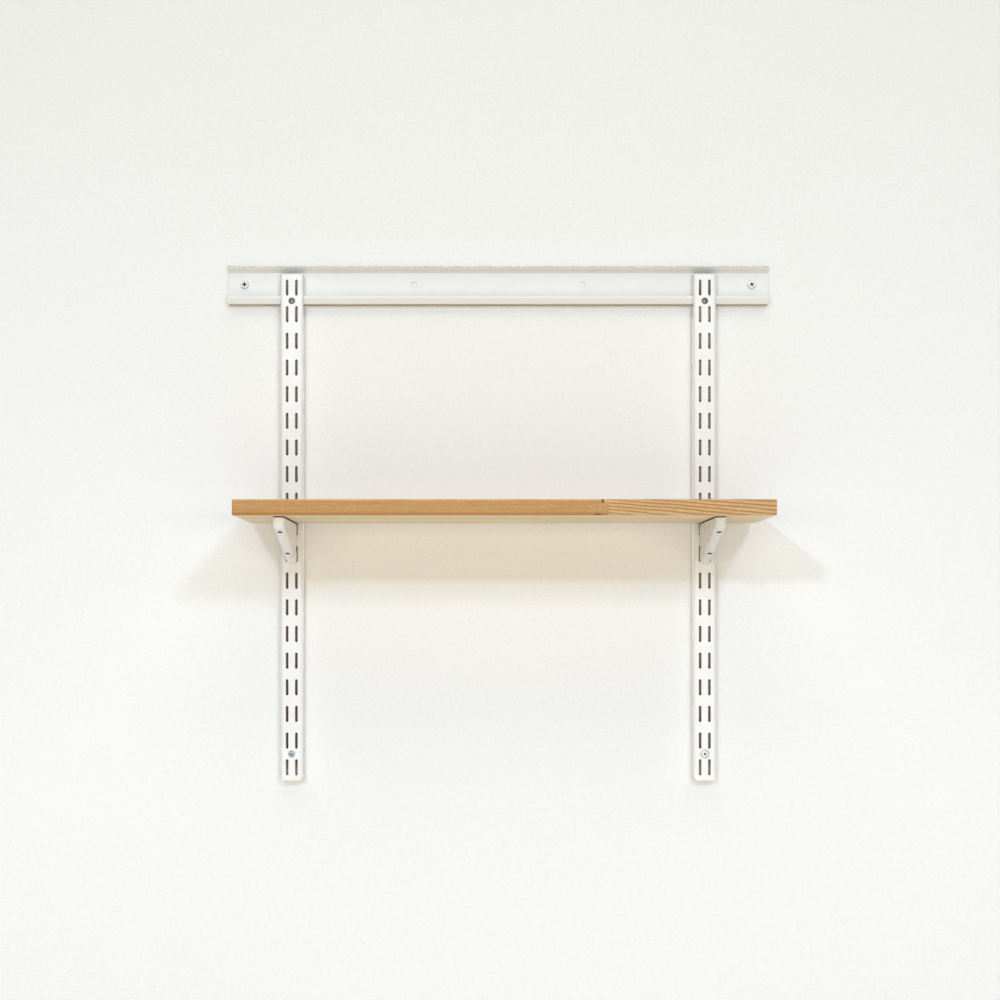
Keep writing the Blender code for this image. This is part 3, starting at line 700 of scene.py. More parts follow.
# ================================================================= hang rail
def make_rail():
    path = [(-10.2, 21.2), (0.0, 14.8), (0.0, -25.8), (-8.0, -25.8), (-12.0, -17.2), (-12.0, -14.8)]
    points = [np.array(p) for p in path]
    runs = [(b - a) / np.linalg.norm(b - a) for a, b in zip(points, points[1:])]
    sides = [np.array((r[1], -r[0])) for r in runs]
    middle = []
    for i, point in enumerate(points):
        if i in (0, len(points) - 1):
            middle.append(point + sides[0 if i == 0 else -1] * RAIL_SHEET / 2)
        else:
            both = sides[i - 1] + sides[i]
            both /= np.linalg.norm(both)
            middle.append(point + both * (RAIL_SHEET / 2 / float(both @ sides[i])))
    fold = Fold(middle, 1.95)
    lines = fold.bends()
    zero = next(u for u in np.linspace(0, fold.length, 40001) if fold.at(u)[0][1] <= 0 and fold.at(u)[0][0] > -1.0)

    def end(u):
        h = fold.at(u)[0][1] + 25.8
        return RAIL_END if h >= 4.8 else RAIL_END - 4.8 + math.sqrt(max(0.0, 4.8**2 - (4.8 - h) ** 2))

    inner = sorted(set([u for u in lines if end(u) < RAIL_END] + [u for u in np.arange(0, fold.length, 0.4) if end(u) < RAIL_END - 1e-6]))
    keep = [inner[0]]
    for u in inner[1:]:
        if u - keep[-1] > 0.05:
            keep.append(u)
    right = [(fold.length, RAIL_END)] + [(u, end(u)) for u in reversed(keep)] + [(0.0, RAIL_END)]
    corner = 0.9
    side = [(fold.length, RAIL_END - corner)] + arc((fold.length - corner, RAIL_END - corner), corner, 0, math.pi / 2, 15)[1:]
    side += right[1:-1]
    side += arc((corner, RAIL_END - corner), corner, math.pi / 2, math.pi / 2, 15)
    outline = side + [(u, -x) for u, x in reversed(side)]
    holes = [circle(zero, x, 3.4) for x in RAIL_HOLES]
    xy, tris = flat_mesh([outline] + holes, [(u, -400, 400) for u in lines])
    mid, nrm = [], []
    for u, x in xy:
        p, _, side_way = fold.at(u)
        mid.append((x, p[0], p[1]))
        nrm.append((0.0, side_way[0], side_way[1]))
    if np.cross(*(np.array(mid)[tris[0][1:]] - np.array(mid)[tris[0][0]])) @ np.array(nrm)[tris[0][0]] < 0:
        tris = tris[:, ::-1]
    return thick_sheet(mid, nrm, tris, RAIL_SHEET, 0.34)


verts, faces, normals, marks = make_rail()
rail = piece("rail_sheet", verts, faces, WHITE_RAIL, normals, marks)
stands_for(rail, "hang_rail", "wall_frame")


# ================================================================= uprights
def make_upright():
    fold = Fold([(-13.0, 0.0), (-13.0, -15.25), (13.0, -15.25), (13.0, 0.0)], 3.25)
    half = fold.length / 2

    def u_of(y):
        if y >= -12:
            return half - 12 + (y + 12)
        return 9.75 + 3.25 * math.acos((-12 - y) / 3.25)

    foot = UPRIGHT_FOOT
    rear = [
        (-1.8, UPRIGHT_TOP, 1.0), (-1.8, -23.9, 0.8), (-5.6, -23.9, 1.2), (-9.0, -16.6, 1.0), (-9.9, -14.5, 0.6),
        (-12.4, -14.5, 0.6), (-12.4, -37.6, 1.2), (-10.0, -40.0, 1.2), (0.0, -40.0, 1.0),
        (0.0, foot + 5.0, 1.2), (-5.0, foot, 1.2),
    ]
    side = [(u_of(y), z, r) for y, z, r in rear]
    # The foot's front corners are eased
    side[-1:] = [(u_of(-5.0), foot + 2.3, 1.2), (12.7, foot + 2.3, 1.8), (10.4, foot, 2.2)]
    outline = filleted(side + [(-u, z, r) for u, z, r in reversed(side)], most=15)
    holes = []
    for row in range(19):
        for column in (-SLOT_COLUMN, SLOT_COLUMN):
            holes.append(slot_outline(column, FIRST_SLOT - row * PITCH, 3.0, 19.2))
    for z, radius in ((FIRST_SLOT - 0.5 * PITCH, 3.85), (FIRST_SLOT - 17.5 * PITCH, 3.5)):
        holes.append(circle(0, z, radius, 36))
    xy, tris = flat_mesh([outline] + holes, [(u - half, -700, 100) for u in fold.bends()])
    mid, nrm = [], []
    for u, z in xy:
        p, _, side_way = fold.at(u + half)
        mid.append((p[0], p[1], z))
        nrm.append((side_way[0], side_way[1], 0.0))
    if np.cross(*(np.array(mid)[tris[0][1:]] - np.array(mid)[tris[0][0]])) @ np.array(nrm)[tris[0][0]] < 0:
        tris = tris[:, ::-1]
    return thick_sheet(mid, nrm, tris, UPRIGHT_SHEET, 0.30)


verts, faces, normals, marks = make_upright()
for side, sign in (("left", -1), ("right", 1)):
    made = piece(side + "_upright_channel", verts + np.array((sign * UPRIGHT_X, 0, 0)), faces, WHITE, normals, marks)
    stands_for(made, side + "_upright", "wall_frame")


# ================================================================= brackets
def make_bracket():
    """One sheet: two cheeks with hooks, folded round a web that turns up at the nose, and two tabs."""
    sheet, half, outer = 1.6, 6.35, 4.2
    heel, slope, reach, nose, top = -338.2, 0.208, 178.0, 13.0, -290.0
    beta = math.atan(slope)
    sb, cb = math.sin(beta), math.cos(beta)
    mid_r = outer - sheet / 2
    flat = half - outer
    U = flat + mid_r * math.pi / 2
    turn = math.pi / 2 - beta
    back_off = nose * math.tan(turn / 2)
    t1 = reach / cb - back_off
    t2 = t1 + nose * turn
    T = t2 + (top - (heel + slope * reach + back_off))
    centre = np.array((reach - nose, heel + slope * reach + back_off))

    def profile(t):
        """(s, z) on the outside of the web and nose, and the way out."""
        if t <= t1:
            return np.array((t * cb, heel + t * sb)), np.array((sb, -cb))
        if t <= t2:
            a = -math.pi / 2 + beta + (t - t1) / nose
            ray = np.array((math.cos(a), math.sin(a)))
            return centre + nose * ray, ray
        return np.array((reach, centre[1] + (t - t2))), np.array((1.0, 0.0))

    def depth(u):
        phi = max(0.0, abs(u) - flat) / mid_r
        return outer - mid_r * math.cos(phi), phi

    def web(u, t):
        p, n = profile(t)
        k, phi = depth(u)
        s, z = p - n * k
        x = math.copysign(min(abs(u), flat) + mid_r * math.sin(phi), u)
        way = np.array((math.copysign(math.sin(phi), u) if phi > 0 else 0.0, *(math.cos(phi) * n)))
        return (x, s, z), way

    folds = [flat + (U - flat) * k / 8 for k in range(9)]
    u_lines = sorted([-f for f in folds] + folds + [0.0])
    arcs = [t1 + (t2 - t1) * k / 18 for k in range(19)]
    t_side = [4.2 * math.tan(beta)] + [20.0 * k for k in range(1, 9) if 20.0 * k < t1 - 3] + arcs + [T]

    def start(u):
        return depth(u)[0] * math.tan(beta)

    outline = [(u, start(u)) for u in u_lines]
    outline += [(U, t) for t in t_side[1:]]
    outline += [(u, T) for u in reversed(u_lines[:-1])]
    outline += [(-U, t) for t in reversed(t_side[1:-1])]
    openings = []
    for s0 in BRACKET_SCREWS:
        ring = []
        for x, ds in [(2.7 * u, 3.9 * v) for u, v in circle(0, 0, 1.0, 40)]:
            phi = math.asin(max(0.0, abs(x) - flat) / mid_r)
            u = math.copysign(min(abs(x), flat) + mid_r * phi, x) if abs(x) > 1e-9 else 0.0
            ring.append((u, (s0 + ds + (outer - mid_r * math.cos(phi)) * sb) / cb))
        openings.append(ring)
    xy, tris = flat_mesh([outline] + openings, [(u, -10, 400) for u in u_lines[1:-1]], across=[(t, -U, U) for t in arcs])
    patches = []
    mapped = [web(u, t) for u, t in xy]
    patches.append((np.array([m[0] for m in mapped]), np.array([m[1] for m in mapped]), tris))

    seam = []
    for t in t_side:
        p, n = profile(t)
        seam.append(tuple(p - n * outer))

    def hook(seat, head, tail):
        return [
            (0.0, head, 0.5), (-3.6, head, 1.0), (-6.1, head - 4.0, 2.0), (-5.1, tail, 1.4),
            (-2.1, tail, 0.5), (-2.1, seat, 0.5), (0.0, seat, 0.28),
        ]

    upper = FIRST_SLOT - 9 * PITCH - 9.0
    lower = FIRST_SLOT - 10 * PITCH - 9.0
    rear = [(0.0, top, 0.8)] + hook(upper, upper + 11.2, upper - 6.0) + hook(seam[0][1] + 0.6, lower + 11.2, lower - 6.0)
    bend_low, bend_r = -291.0, 1.3
    bend_high = bend_low + bend_r * math.pi / 2
    tab_end = bend_high + 8.5

    def cheek(side, tabs):
        corners = [(seam[-1][0], seam[-1][1], 0.0)]
        rings, lines = [], []
        if tabs:
            for s0 in sorted(BRACKET_SCREWS, reverse=True):
                corners += [
                    (s0 + 8.2, top, 0.4), (s0 + 8.2, -291.9, 0.5), (s0 + 7.0, -291.9, 0.5), (s0 + 7.0, tab_end, 1.5),
                    (s0 - 7.0, tab_end, 1.5), (s0 - 7.0, -291.9, 0.5), (s0 - 8.2, -291.9, 0.5), (s0 - 8.2, top, 0.4),
                ]
                rings.append([(w, s) for s, w in circle(s0, bend_high + 4.25, 2.1, 28)])
                lines += [(bend_low + (bend_high - bend_low) * k / 6, s0 - 7.0, s0 + 7.0) for k in range(7)]
        corners += rear
        corners.append((seam[0][0], seam[0][1], 0.0))
        edge = filleted(corners, closed=False, most=15)
        edge += seam[1:-1]
        pts, tri = flat_mesh([[(w, s) for s, w in edge]] + rings, lines)
        mid, nrm = [], []
        for w, s in pts:
            bent = tabs and w > bend_low and any(abs(s - s0) <= 7.0 + 1e-4 for s0 in BRACKET_SCREWS)
            if not bent:
                mid.append((side * 5.55, s, w))
                nrm.append((side, 0.0, 0.0))
                continue
            a = min((w - bend_low) / bend_r, math.pi / 2)
            x = 5.55 - bend_r + bend_r * math.cos(a) - max(0.0, w - bend_high)
            mid.append((side * x, s, bend_low + bend_r * math.sin(a)))
            nrm.append((side * math.cos(a), 0.0, math.sin(a)))
        patches.append((np.array(mid), np.array(nrm), tri))

    cheek(-1.0, True)
    cheek(1.0, False)

    # Sew the three patches together along their shared lines
    seen, mid, nrm, tris = {}, [], [], []
    for points, ways, tri in patches:
        area = np.cross(points[tri[:, 1]] - points[tri[:, 0]], points[tri[:, 2]] - points[tri[:, 0]])
        if (area * ways[tri[:, 0]]).sum() < 0:
            tri = tri[:, ::-1]
        index = []
        for p, w in zip(points, ways):
            key = tuple(np.round(p, 3) + 0.0)
            if key not in seen:
                seen[key] = len(mid)
                mid.append(p)
                nrm.append(w)
            index.append(seen[key])
        tris.append(np.array(index)[tri])
    return np.array(mid), np.array(nrm), np.concatenate(tris), sheet


mid, nrm, tris, sheet = make_bracket()
# The cheeks close in a little towards the upright
mid[:, 0] *= 1 - 0.15 * np.clip((120.0 - mid[:, 1]) / 120.0, 0, 1)
# s grows away from the wall, so the sheet is turned over into the row frame
mid = np.stack([mid[:, 0], BRACKET_BACK - mid[:, 1], mid[:, 2]], axis=1)
nrm = np.stack([nrm[:, 0], -nrm[:, 1], nrm[:, 2]], axis=1)
verts, faces, normals, marks = thick_sheet(mid, nrm, tris[:, ::-1], sheet, 0.32)
for side, sign in (("left", -1), ("right", 1)):
    made = piece(side + "_bracket_sheet", verts + np.array((sign * UPRIGHT_X, 0, 0)), faces, WHITE_BRACKET, normals, marks)
    stands_for(made, side + "_bracket", "shelf_unit")


# ================================================================= shelf board
def make_board():
    low, high = np.array(BOARD_LOW), np.array(BOARD_HIGH)
    mesh = bmesh.new()
    bmesh.ops.create_cube(mesh, size=1.0)
    for v in mesh.verts:
        v.co = Vector(((low + high) / 2 + np.array(v.co) * (high - low)) * MM)
    bmesh.ops.bevel(mesh, geom=list(mesh.edges), offset=1.0 * MM, segments=5, profile=0.5, affect="EDGES")
    data = bpy.data.meshes.new("pine_board")
    mesh.to_mesh(data)
    mesh.free()
    data.materials.append(PINE)
    made = bpy.data.objects.new("pine_board", data)
    bpy.context.scene.collection.objects.link(made)

    cuts = bmesh.new()
    for x in (-UPRIGHT_X, UPRIGHT_X):
        for s in BRACKET_SCREWS:
            y = BRACKET_BACK - s
            rings = []
            for radius, z in ((3.0, low[2] - 1.0), (2.6, low[2]), (2.1, low[2] + 0.5), (2.1, low[2] + 11.3), (0.2, low[2] + 12.3)):
                rings.append([cuts.verts.new(Vector((x + u, y + v, z)) * MM) for u, v in circle(0, 0, radius, 24)])
            cuts.faces.new(rings[0][::-1])
            for a, b in zip(rings, rings[1:]):
                for i in range(24):
                    cuts.faces.new((a[i], a[(i + 1) % 24], b[(i + 1) % 24], b[i]))
            cuts.faces.new(rings[-1])
    # The two small voids at the front joint
    for outline, deep in (
        ([(112.9, -269.9), (113.2, -272.6), (114.2, -274.9), (115.1, -272.4), (115.5, -269.9)], 1.0),
        ([(104.4, -289.2), (106.2, -287.7), (108.4, -287.0), (111.4, -287.4), (113.0, -289.2)], 0.8),
    ):
        near = [cuts.verts.new(Vector((x, low[1] - 1.0, z)) * MM) for x, z in outline]
        far = [cuts.verts.new(Vector((x * 0.6 + 0.4 * outline[2][0], low[1] + deep, z)) * MM) for x, z in outline]
        cuts.faces.new(near)
        cuts.faces.new(far[::-1])
        for i in range(len(outline)):
            j = (i + 1) % len(outline)
            cuts.faces.new((near[j], near[i], far[i], far[j]))
    bmesh.ops.recalc_face_normals(cuts, faces=cuts.faces)
    tool = bpy.data.meshes.new("board_cuts")
    cuts.to_mesh(tool)
    cuts.free()
    cutter = bpy.data.objects.new("board_cuts", tool)
    bpy.context.scene.collection.objects.link(cutter)
    step = made.modifiers.new("cuts", "BOOLEAN")
    step.operation, step.object, step.solver = "DIFFERENCE", cutter, "EXACT"
    bpy.context.view_layer.update()
    graph = bpy.context.evaluated_depsgraph_get()
    final = bpy.data.meshes.new_from_object(made.evaluated_get(graph))
    made.modifiers.clear()
    made.data = final
    final.name = "pine_board"
    bpy.data.objects.remove(cutter, do_unlink=True)
    final.shade_smooth()
    final.set_sharp_from_angle(angle=math.radians(32))
    return made


board = make_board()
stands_for(board, "shelf_board", "shelf_unit")


# ================================================================= screws and plugs
def cross_recess(size, arm):
    s, a = size / 2, arm / 2
    r = 0.22 * arm
    corners = [
        (a, a, r), (a, s, r), (-a, s, r), (-a, a, r), (-s, a, r), (-s, -a, r),
        (-a, -a, r), (-a, -s, r), (a, -s, r), (a, -a, r), (s, -a, r), (s, a, r),
    ]
    return filleted(corners, most=30)


def make_screw(head, height, shank, length, size, arm, deep, pitch, turn=0.0, power=2.7):
    """(verts as (a, b, d), faces, which, marks): d = 0 under the head, growing towards the tip."""
    R = head / 2
    around = 48

    def crown(r):
        return -height * max(0.0, 1 - min(1.0, r / R) ** power) ** (1 / power)

    cross = cross_recess(size, arm)
    c, s = math.cos(turn), math.sin(turn)
    cross = [(u * c - v * s, u * s + v * c) for u, v in cross]
    r1 = min(size / 2 + 0.35, R * 0.86)
    spread = []
    for k in range(1, 4):
        for u, v in circle(0, 0, r1 * k / 4, 24):
            if min(math.dist((u, v), p) for p in cross) > 0.22 and not inside(np.array([(u, v)]), [cross])[0]:
                spread.append((u, v))
    xy, tris = flat_mesh([circle(0, 0, r1, around), cross], extra=spread)
    verts = [(u, v, crown(math.hypot(u, v))) for u, v in xy]
    faces = [tuple(t[::-1]) for t in tris.tolist()]
    which = [0] * len(faces)
    marks = [0.0] * len(verts)

    def find(u, v):
        d = np.hypot(xy[:, 0] - u, xy[:, 1] - v)
        return int(np.argmin(d))

    def ring(points, mark=0.0):
        base = len(verts)
        verts.extend(points)
        marks.extend([mark] * len(points))
        return [base + i for i in range(len(points))]

    def join(a, b, material, flip=False):
        count = len(a)
        for i in range(count):
            j = (i + 1) % count
            quad = (a[i], a[j], b[j], b[i])
            faces.append(quad[::-1] if flip else quad)
            which.append(material)

    # Crown to the rim, under the head, then the threaded shank
    last = [find(u, v) for u, v in circle(0, 0, r1, around)]
    start = math.acos(max(0.0, (1 - (r1 / R) ** power)) ** 0.5)
    for k in range(1, 13):
        a = start + (math.pi / 2 - start) * k / 12
        r, d = R * math.sin(a) ** (2 / power), -height * max(0.0, math.cos(a)) ** (2 / power)
        now = ring([(u, v, min(d, -0.02)) for u, v in circle(0, 0, r, around)], 1.0 if 4 < k else 0.0)
        join(last, now, 0, True)
        last = now
    for r, d in ((0.985 * R, 0.0), (shank + 0.35, 0.0), (shank * 0.82, 0.35)):
        now = ring([(u, v, d) for u, v in circle(0, 0, r, around)])
        join(last, now, 0, True)
        last = now
    core = shank * 0.70
    rows = int((length - 0.9) / (pitch / 9))
    begin = 0.9
    for k in range(rows + 1):
        d = begin + (length - begin) * k / rows
        left_over = length - d
        taper = min(1.0, (left_over + 0.25) / 4.5) ** 0.8
        swell = min(1.0, (d - begin) / 2.0)
        points = []
        for i in range(around):
            a = 2 * math.pi * i / around
            phase = (d / pitch - a / (2 * math.pi)) % 1.0
            crest = max(0.0, 1 - abs(phase - 0.5) / 0.24)
            r = (core * (1 if k else 1.1) + (shank - core) * crest * swell) * taper
            points.append((r * math.cos(a), r * math.sin(a), d))
        now = ring(points)
        join(last, now, 0, True)
        last = now
    tip = len(verts)
    verts.append((0.0, 0.0, length))
    marks.append(0.0)
    for i in range(around):
        faces.append((last[(i + 1) % around], last[i], tip))
        which.append(0)

    # Recess: tapering wings down to a blunt point
    mouth = [find(u, v) for u, v in cross]
    last = mouth
    for share, scale in ((0.10, 0.95), (0.55, 0.80), (1.0, 0.55)):
        points = []
        for u, v in cross:
            points.append((u * scale, v * scale, crown(math.hypot(u, v)) * (1 - share) + (-height + deep) * share))
        now = ring(points)
        join(last, now, 1)
        last = now
    pit = len(verts)
    verts.append((0.0, 0.0, -height + deep + 0.25))
    marks.append(0.0)
    for i in range(len(last)):
        faces.append((last[i], last[(i + 1) % len(last)], pit))
        which.append(1)
    return np.array(verts), faces, which, marks


def screw(name, node, made, origin, along, body, finish, recess=None):
    local, faces, which, marks = made
    a, b, d = local[:, 0], local[:, 1], local[:, 2]
    if along == "y":
        world = np.stack([origin[0] + a, origin[1] + d, origin[2] + b], axis=1)
        turned = [tuple(f[::-1]) for f in faces]
    else:
        world = np.stack([origin[0] + a, origin[1] + b, origin[2] + d], axis=1)
        turned = faces
    obj = piece(name, world, turned, [finish, recess or RECESS], None, marks, which, 34)
    even = bmesh.new()
    even.from_mesh(obj.data)
    bmesh.ops.recalc_face_normals(even, faces=even.faces)
    even.to_mesh(obj.data)
    even.free()
    return stands_for(obj, node, body)


rail_left = make_screw(10.2, 2.8, 2.0, 33.0, 5.6, 1.75, 1.7, 1.9, math.radians(3))
rail_right = make_screw(10.2, 2.8, 2.0, 33.0, 5.2, 1.6, 1.7, 1.9, math.radians(38))
foot_left = make_screw(8.4, 1.8, 2.0, 44.0, 4.6, 1.1, 1.2, 1.9, math.radians(21))
foot_right = make_screw(10.8, 2.5, 2.0, 44.0, 2.9, 1.25, 1.6, 1.9, math.radians(44))
shelf = make_screw(6.6, 2.0, 1.75, 14.2, 3.6, 0.9, 1.3, 1.4, math.radians(12))
foot_hole = FIRST_SLOT - 17.5 * PITCH
screw("rail_screw_left_pan", "rail_screw_left", rail_left, (-306.0, -1.8, 0.0), "y", "wall_frame", WHITE_SCREW)
screw("rail_screw_right_pan", "rail_screw_right", rail_right, (306.0, -1.8, 0.0), "y", "wall_frame", WHITE_SCREW)
screw("upright_screw_left_pan", "upright_screw_left", foot_left, (-UPRIGHT_X, -16.3, foot_hole), "y", "wall_frame", ZINC, ZINC_RECESS)
screw("upright_screw_right_pan", "upright_screw_right", foot_right, (UPRIGHT_X, -16.3, foot_hole), "y", "wall_frame", WHITE_SCREW)
for side, x in (("left", -UPRIGHT_X), ("right", UPRIGHT_X)):
    for where, s in zip(("rear", "front"), BRACKET_SCREWS):
        screw(
            f"shelf_screw_{side}_{where}_pan", f"shelf_screw_{side}_{where}", shelf,
            (x, BRACKET_BACK - s, -290.8), "z", "shelf_unit", ZINC,
        )


def make_plug():
    """Barbed sleeve with two long slits, its mouth at d = 0."""
    around = 48
    outer, inner, length = 3.0, 2.3, 34.0
    verts, faces = [], []

    def ring(shape, d):
        base = len(verts)
        for i in range(around):
            a = 2 * math.pi * i / around
            r = shape(a)
            verts.append((r * math.cos(a), r * math.sin(a), d))
        return list(range(base, base + around))

    def join(a, b):
        for i in range(around):
            j = (i + 1) % around
            faces.append((a[i], a[j], b[j], b[i]))

    stops = [0.0, 0.25]
    while stops[-1] < length - 1.6:
        stops.append(stops[-1] + 0.35)
    stops += [length - 0.9, length - 0.35, length]

    def outside(d):
        barb = 0.0 if d < 5 or d > 31 else 0.38 * (1 - ((d - 5) % 3.1) / 3.1)
        slit = 0.42 if 7.0 < d < 30.0 else 0.0
        end = 0.0 if d < length - 1.4 else 1.0 * ((d - length + 1.4) / 1.4) ** 2
        lip = 0.15 if d < 0.1 else 0.0

        def shape(a):
            groove = max(0.0, 1 - abs(math.sin(a)) * outer / 0.55)
            return outer - barb - slit * min(1.0, groove * 2.2) - end - lip

        return shape

    last = None
    bore = [ring(lambda a, r=r: r, d) for r, d in ((inner * 0.35, 32.6), (inner * 0.9, 32.4), (inner, 31.5), (inner, 0.3), (inner + 0.15, 0.0))]
    pole = len(verts)
    verts.append((0.0, 0.0, 32.6))
    for i in range(around):
        faces.append((pole, bore[0][(i + 1) % around], bore[0][i]))
    for a, b in zip(bore, bore[1:]):
        join(b, a)
    last = bore[-1]
    for d in stops:
        now = ring(outside(d), d)
        join(now, last)
        last = now
    tip = len(verts)
    verts.append((0.0, 0.0, length))
    for i in range(around):
        faces.append((last[i], last[(i + 1) % around], tip))
    return np.array(verts), faces


plug, plug_faces = make_plug()
for name, x, z in (
    ("rail_plug_left", -306.0, 0.0), ("rail_plug_right", 306.0, 0.0),
    ("upright_plug_left", -UPRIGHT_X, foot_hole), ("upright_plug_right", UPRIGHT_X, foot_hole),
):
    world = np.stack([x + plug[:, 0], 0.3 + plug[:, 2], z + plug[:, 1]], axis=1)
    obj = piece(name + "_sleeve", world, plug_faces, NYLON, sharp=40)
    stands_for(obj, name, "wall_frame")

# Every closed shell faces outwards
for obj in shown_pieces():
    if "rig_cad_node" in obj:
        continue
    checked = bmesh.new()
    checked.from_mesh(obj.data)
    if checked.calc_volume(signed=True) < 0:
        print("inside out:", obj.name)
    open_edges = sum(1 for e in checked.edges if not e.is_manifold)
    if open_edges:
        print("open edges:", obj.name, open_edges)
    checked.free()


# ================================================================= stage
def sheet_stage(name, corners, material):
    data = bpy.data.meshes.new(name)
    data.from_pydata(corners, [], [(0, 1, 2, 3)])
    data.materials.append(material)
    made = bpy.data.objects.new(name, data)
    bpy.context.scene.collection.objects.link(made)
    return made


def wall_paint():
    g = Graph("stage_wall_paint")
    z = g.xyz(g.where)[2]
    # Painted shade: the wall is darker towards the top
    rise = g.span(z, -0.62, 0.36, smooth=False)
    tone = g.mix(rise, (0.965, 0.960, 0.955), (0.797, 0.780, 0.733))
    tone = g.mix(g.mul(g.noise(g.where, 1.6, 2.0), 0.25), tone, (0.89, 0.885, 0.87))
    # Painted shade on the wall behind each upright, seen through the slots: darker towards the bottom but lighter again
    # by the foot, and lighter behind the right upright than the left
    x = g.xyz(g.where)[0]
    off = g.math("ABSOLUTE", g.math("SUBTRACT", g.math("ABSOLUTE", x), 0.248))
    wall_shade_behind_upright = g.mul(g.mul(g.span(off, 0.0124, 0.0112), g.span(z, -0.5985, -0.5960)), g.span(z, 0.004, 0.0))
    wall_shade_tone = g.mix(g.span(z, -0.60, 0.0, smooth=False), (0.40, 0.27, 0.28), (0.70, 0.60, 0.53))
    wall_shade_tone = g.mix(1.0, wall_shade_tone, g.mix(g.math("GREATER_THAN", x, 0.0), (0.80, 0.80, 0.80), (1.18, 1.18, 1.18)), "MULTIPLY")
    wall_shade_tone = g.mix(g.span(z, -0.572, -0.592), wall_shade_tone, (0.62, 0.54, 0.48))
    # Painted shade, darker towards the ends of each slot and between the slots, where the upright covers the wall
    row = g.math("FRACT", g.mul(g.add(g.add(-0.4041, g.mul(g.add(z, 0.4041), 0.9940)), 1.3016), 1 / 0.032))
    row = g.mul(g.math("ABSOLUTE", g.add(row, -0.5)), 0.032)
    wall_shade_tone = g.mix(g.span(row, 0.0058, 0.0092, 0.0, 0.72), wall_shade_tone, (0.13, 0.085, 0.065))
    tone = g.mix(wall_shade_behind_upright, tone, wall_shade_tone)
    # Painted shade in the corner between the wall and the inner side of each upright
    inner = g.math("ABSOLUTE", g.math("SUBTRACT", g.math("SUBTRACT", 0.248, g.math("ABSOLUTE", x)), 0.0146))
    corner = g.mul(g.mul(g.span(inner, 0.0016, 0.0004), g.span(z, -0.600, -0.594)), g.span(z, -0.02, -0.04))
    corner = g.mul(corner, g.span(z, -0.56, -0.36, 0.16, 0.42))
    tone = g.mix(corner, tone, (0.50, 0.46, 0.39))
    grain = g.noise(g.where, 300.0, 3.0, 0.6)
    tone = g.mix(g.mul(g.span(grain, 0.35, 0.65, smooth=False), g.math("SUBTRACT", 1.0, wall_shade_behind_upright)), tone, (0.952, 0.950, 0.943), "MULTIPLY")
    skin = g.noise(g.where, 420.0, 3.0, 0.55)
    diffuse = g.new("ShaderNodeBsdfDiffuse")
    g.put(diffuse.inputs["Color"], tone)
    g.put(diffuse.inputs["Normal"], g.bump(skin, 0.00022, 0.7))
    clear = g.new("ShaderNodeBsdfTransparent")
    # Clear from behind, and to light that starts right against it, so the back of the shelf is lit
    behind = g.new("ShaderNodeNewGeometry").outputs["Backfacing"]
    path = g.new("ShaderNodeLightPath")
    length = path.outputs["Ray Length"]
    close = g.math("MAXIMUM", g.math("LESS_THAN", length, 0.003), g.mul(g.math("LESS_THAN", length, 0.03), 0.30))
    close = g.mul(close, g.math("SUBTRACT", 1.0, path.outputs["Is Camera Ray"]))
    both = g.new("ShaderNodeMixShader")
    g.put(both.inputs[0], g.math("MAXIMUM", behind, close))
    g.put(both.inputs[1], diffuse.outputs[0])
    g.put(both.inputs[2], clear.outputs[0])
    g.put(g.output.inputs[0], both.outputs[0])
    return g.material


def floor_paint():
    g = Graph("stage_floor")
    tone = g.mix(g.noise(g.where, 1.2, 2.0), (0.80, 0.765, 0.70), (0.84, 0.805, 0.74))
    return g.shader(tone, 0.7)


wall_y, floor_z = 0.0004, -1.25
# Wound so that its face looks towards -Y
sheet_stage("stage_wall", [(-6, wall_y, floor_z), (6, wall_y, floor_z), (6, wall_y, 3.2), (-6, wall_y, 3.2)], wall_paint())
sheet_stage("stage_floor", [(-6, -7, floor_z), (6, -7, floor_z), (6, 6, floor_z), (-6, 6, floor_z)], floor_paint())


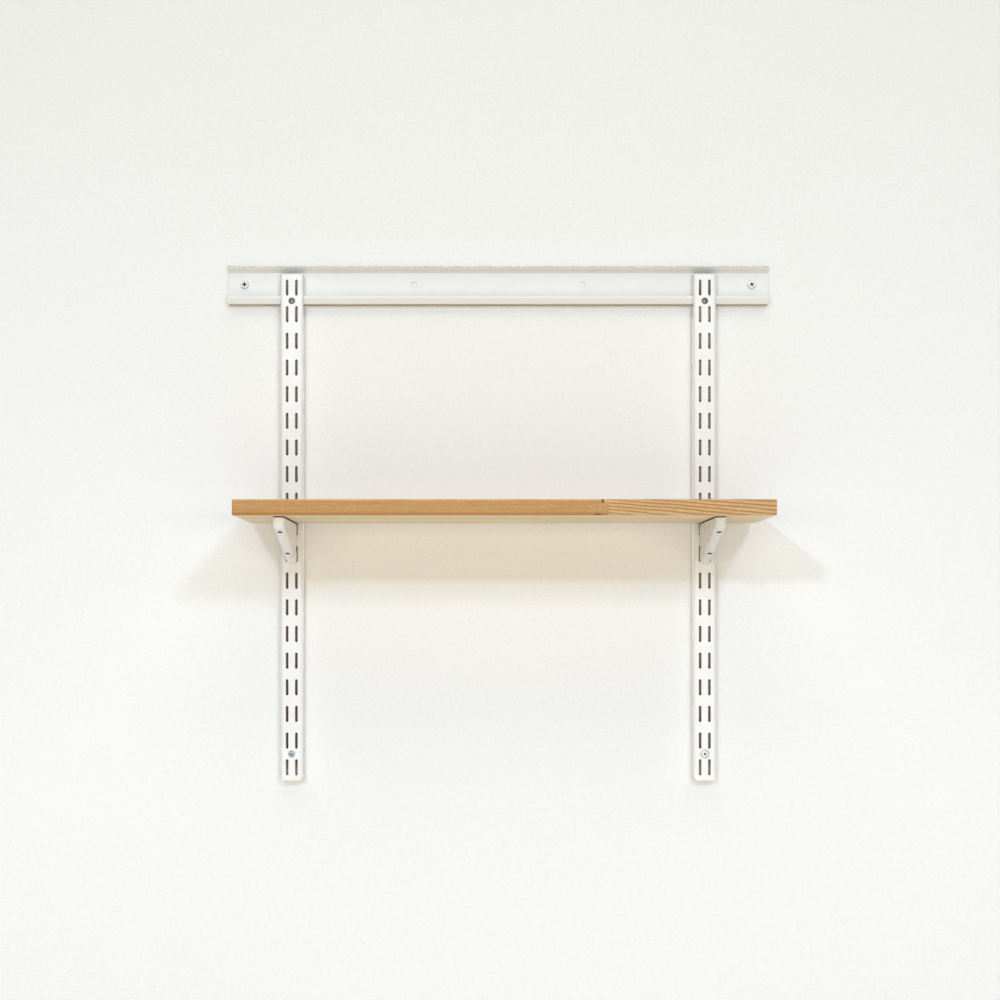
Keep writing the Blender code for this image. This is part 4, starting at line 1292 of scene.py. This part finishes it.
# ================================================================= light
world = bpy.data.worlds.new("studio")
world.use_nodes = True
background = world.node_tree.nodes["Background"]
background.inputs[0].default_value = (1.0, 0.97, 0.91, 1.0)
seen = world.node_tree.nodes.new("ShaderNodeLightPath")
level = world.node_tree.nodes.new("ShaderNodeMapRange")
world.node_tree.links.new(seen.outputs["Is Camera Ray"], level.inputs[0])
level.inputs[3].default_value, level.inputs[4].default_value = 0.135, 0.88
world.node_tree.links.new(level.outputs[0], background.inputs[1])
bpy.context.scene.world = world


def area(name, where, target, size, power, colour=(1, 1, 1)):
    data = bpy.data.lights.new(name, "AREA")
    data.shape = "RECTANGLE"
    data.size, data.size_y = size
    data.energy = power
    data.color = colour
    made = bpy.data.objects.new(name, data)
    bpy.context.scene.collection.objects.link(made)
    made.location = where
    made.rotation_mode = "QUATERNION"
    made.rotation_quaternion = (Vector(target) - Vector(where)).to_track_quat("-Z", "Y")
    made.visible_camera = False
    return made


# Two cool lamps in front throw the two crossed shadows, and warm light from low down fills them
WARM = (1.0, 0.910, 0.712)
COOL = (0.80, 1.0, 1.33)
area("lamp_left", (-0.79, -2.96, 0.60), (0.0, 0.0, -0.29), (0.15, 0.12), 14.3, COOL)
area("lamp_right", (1.08, -3.69, 1.19), (0.0, 0.0, -0.29), (0.40, 0.36), 25.8, COOL)
area("side_left", (-2.7, -3.2, 0.75), (0.0, 0.0, -0.29), (0.30, 0.25), 2.6, COOL)
area("side_right", (2.7, -3.2, 0.75), (0.0, 0.0, -0.29), (0.30, 0.25), 2.6, COOL)
area("front_fill", (0.0, -5.0, -0.26), (0.0, 0.0, -0.30), (6.0, 0.66), 80.0, WARM)
area("low_fill", (0.0, -1.7, -1.17), (0.0, -0.30, -0.29), (3.0, 1.4), 6.3, WARM)
area("overhead", (0.0, -1.7, 2.3), (0.0, -0.5, -1.25), (3.0, 1.6), 33.0, (1.0, 0.98, 0.92))
area("behind", (0.0, 3.6, 0.7), (0.0, 0.0, -0.3), (4.0, 2.5), 120.0)


# ================================================================= camera
camera_data = bpy.data.cameras.new("camera")
camera_data.lens = 78.85
camera_data.sensor_width = 36.0
camera_data.shift_x = 0.0213
camera_data.shift_y = 0.1194
camera = bpy.data.objects.new("camera", camera_data)
bpy.context.scene.collection.objects.link(camera)
camera.location = (-0.0235, -2.646, -0.4041)
camera.rotation_euler = (math.radians(90), 0, 0)
bpy.context.scene.camera = camera
bpy.context.scene.view_settings.view_transform = "Standard"
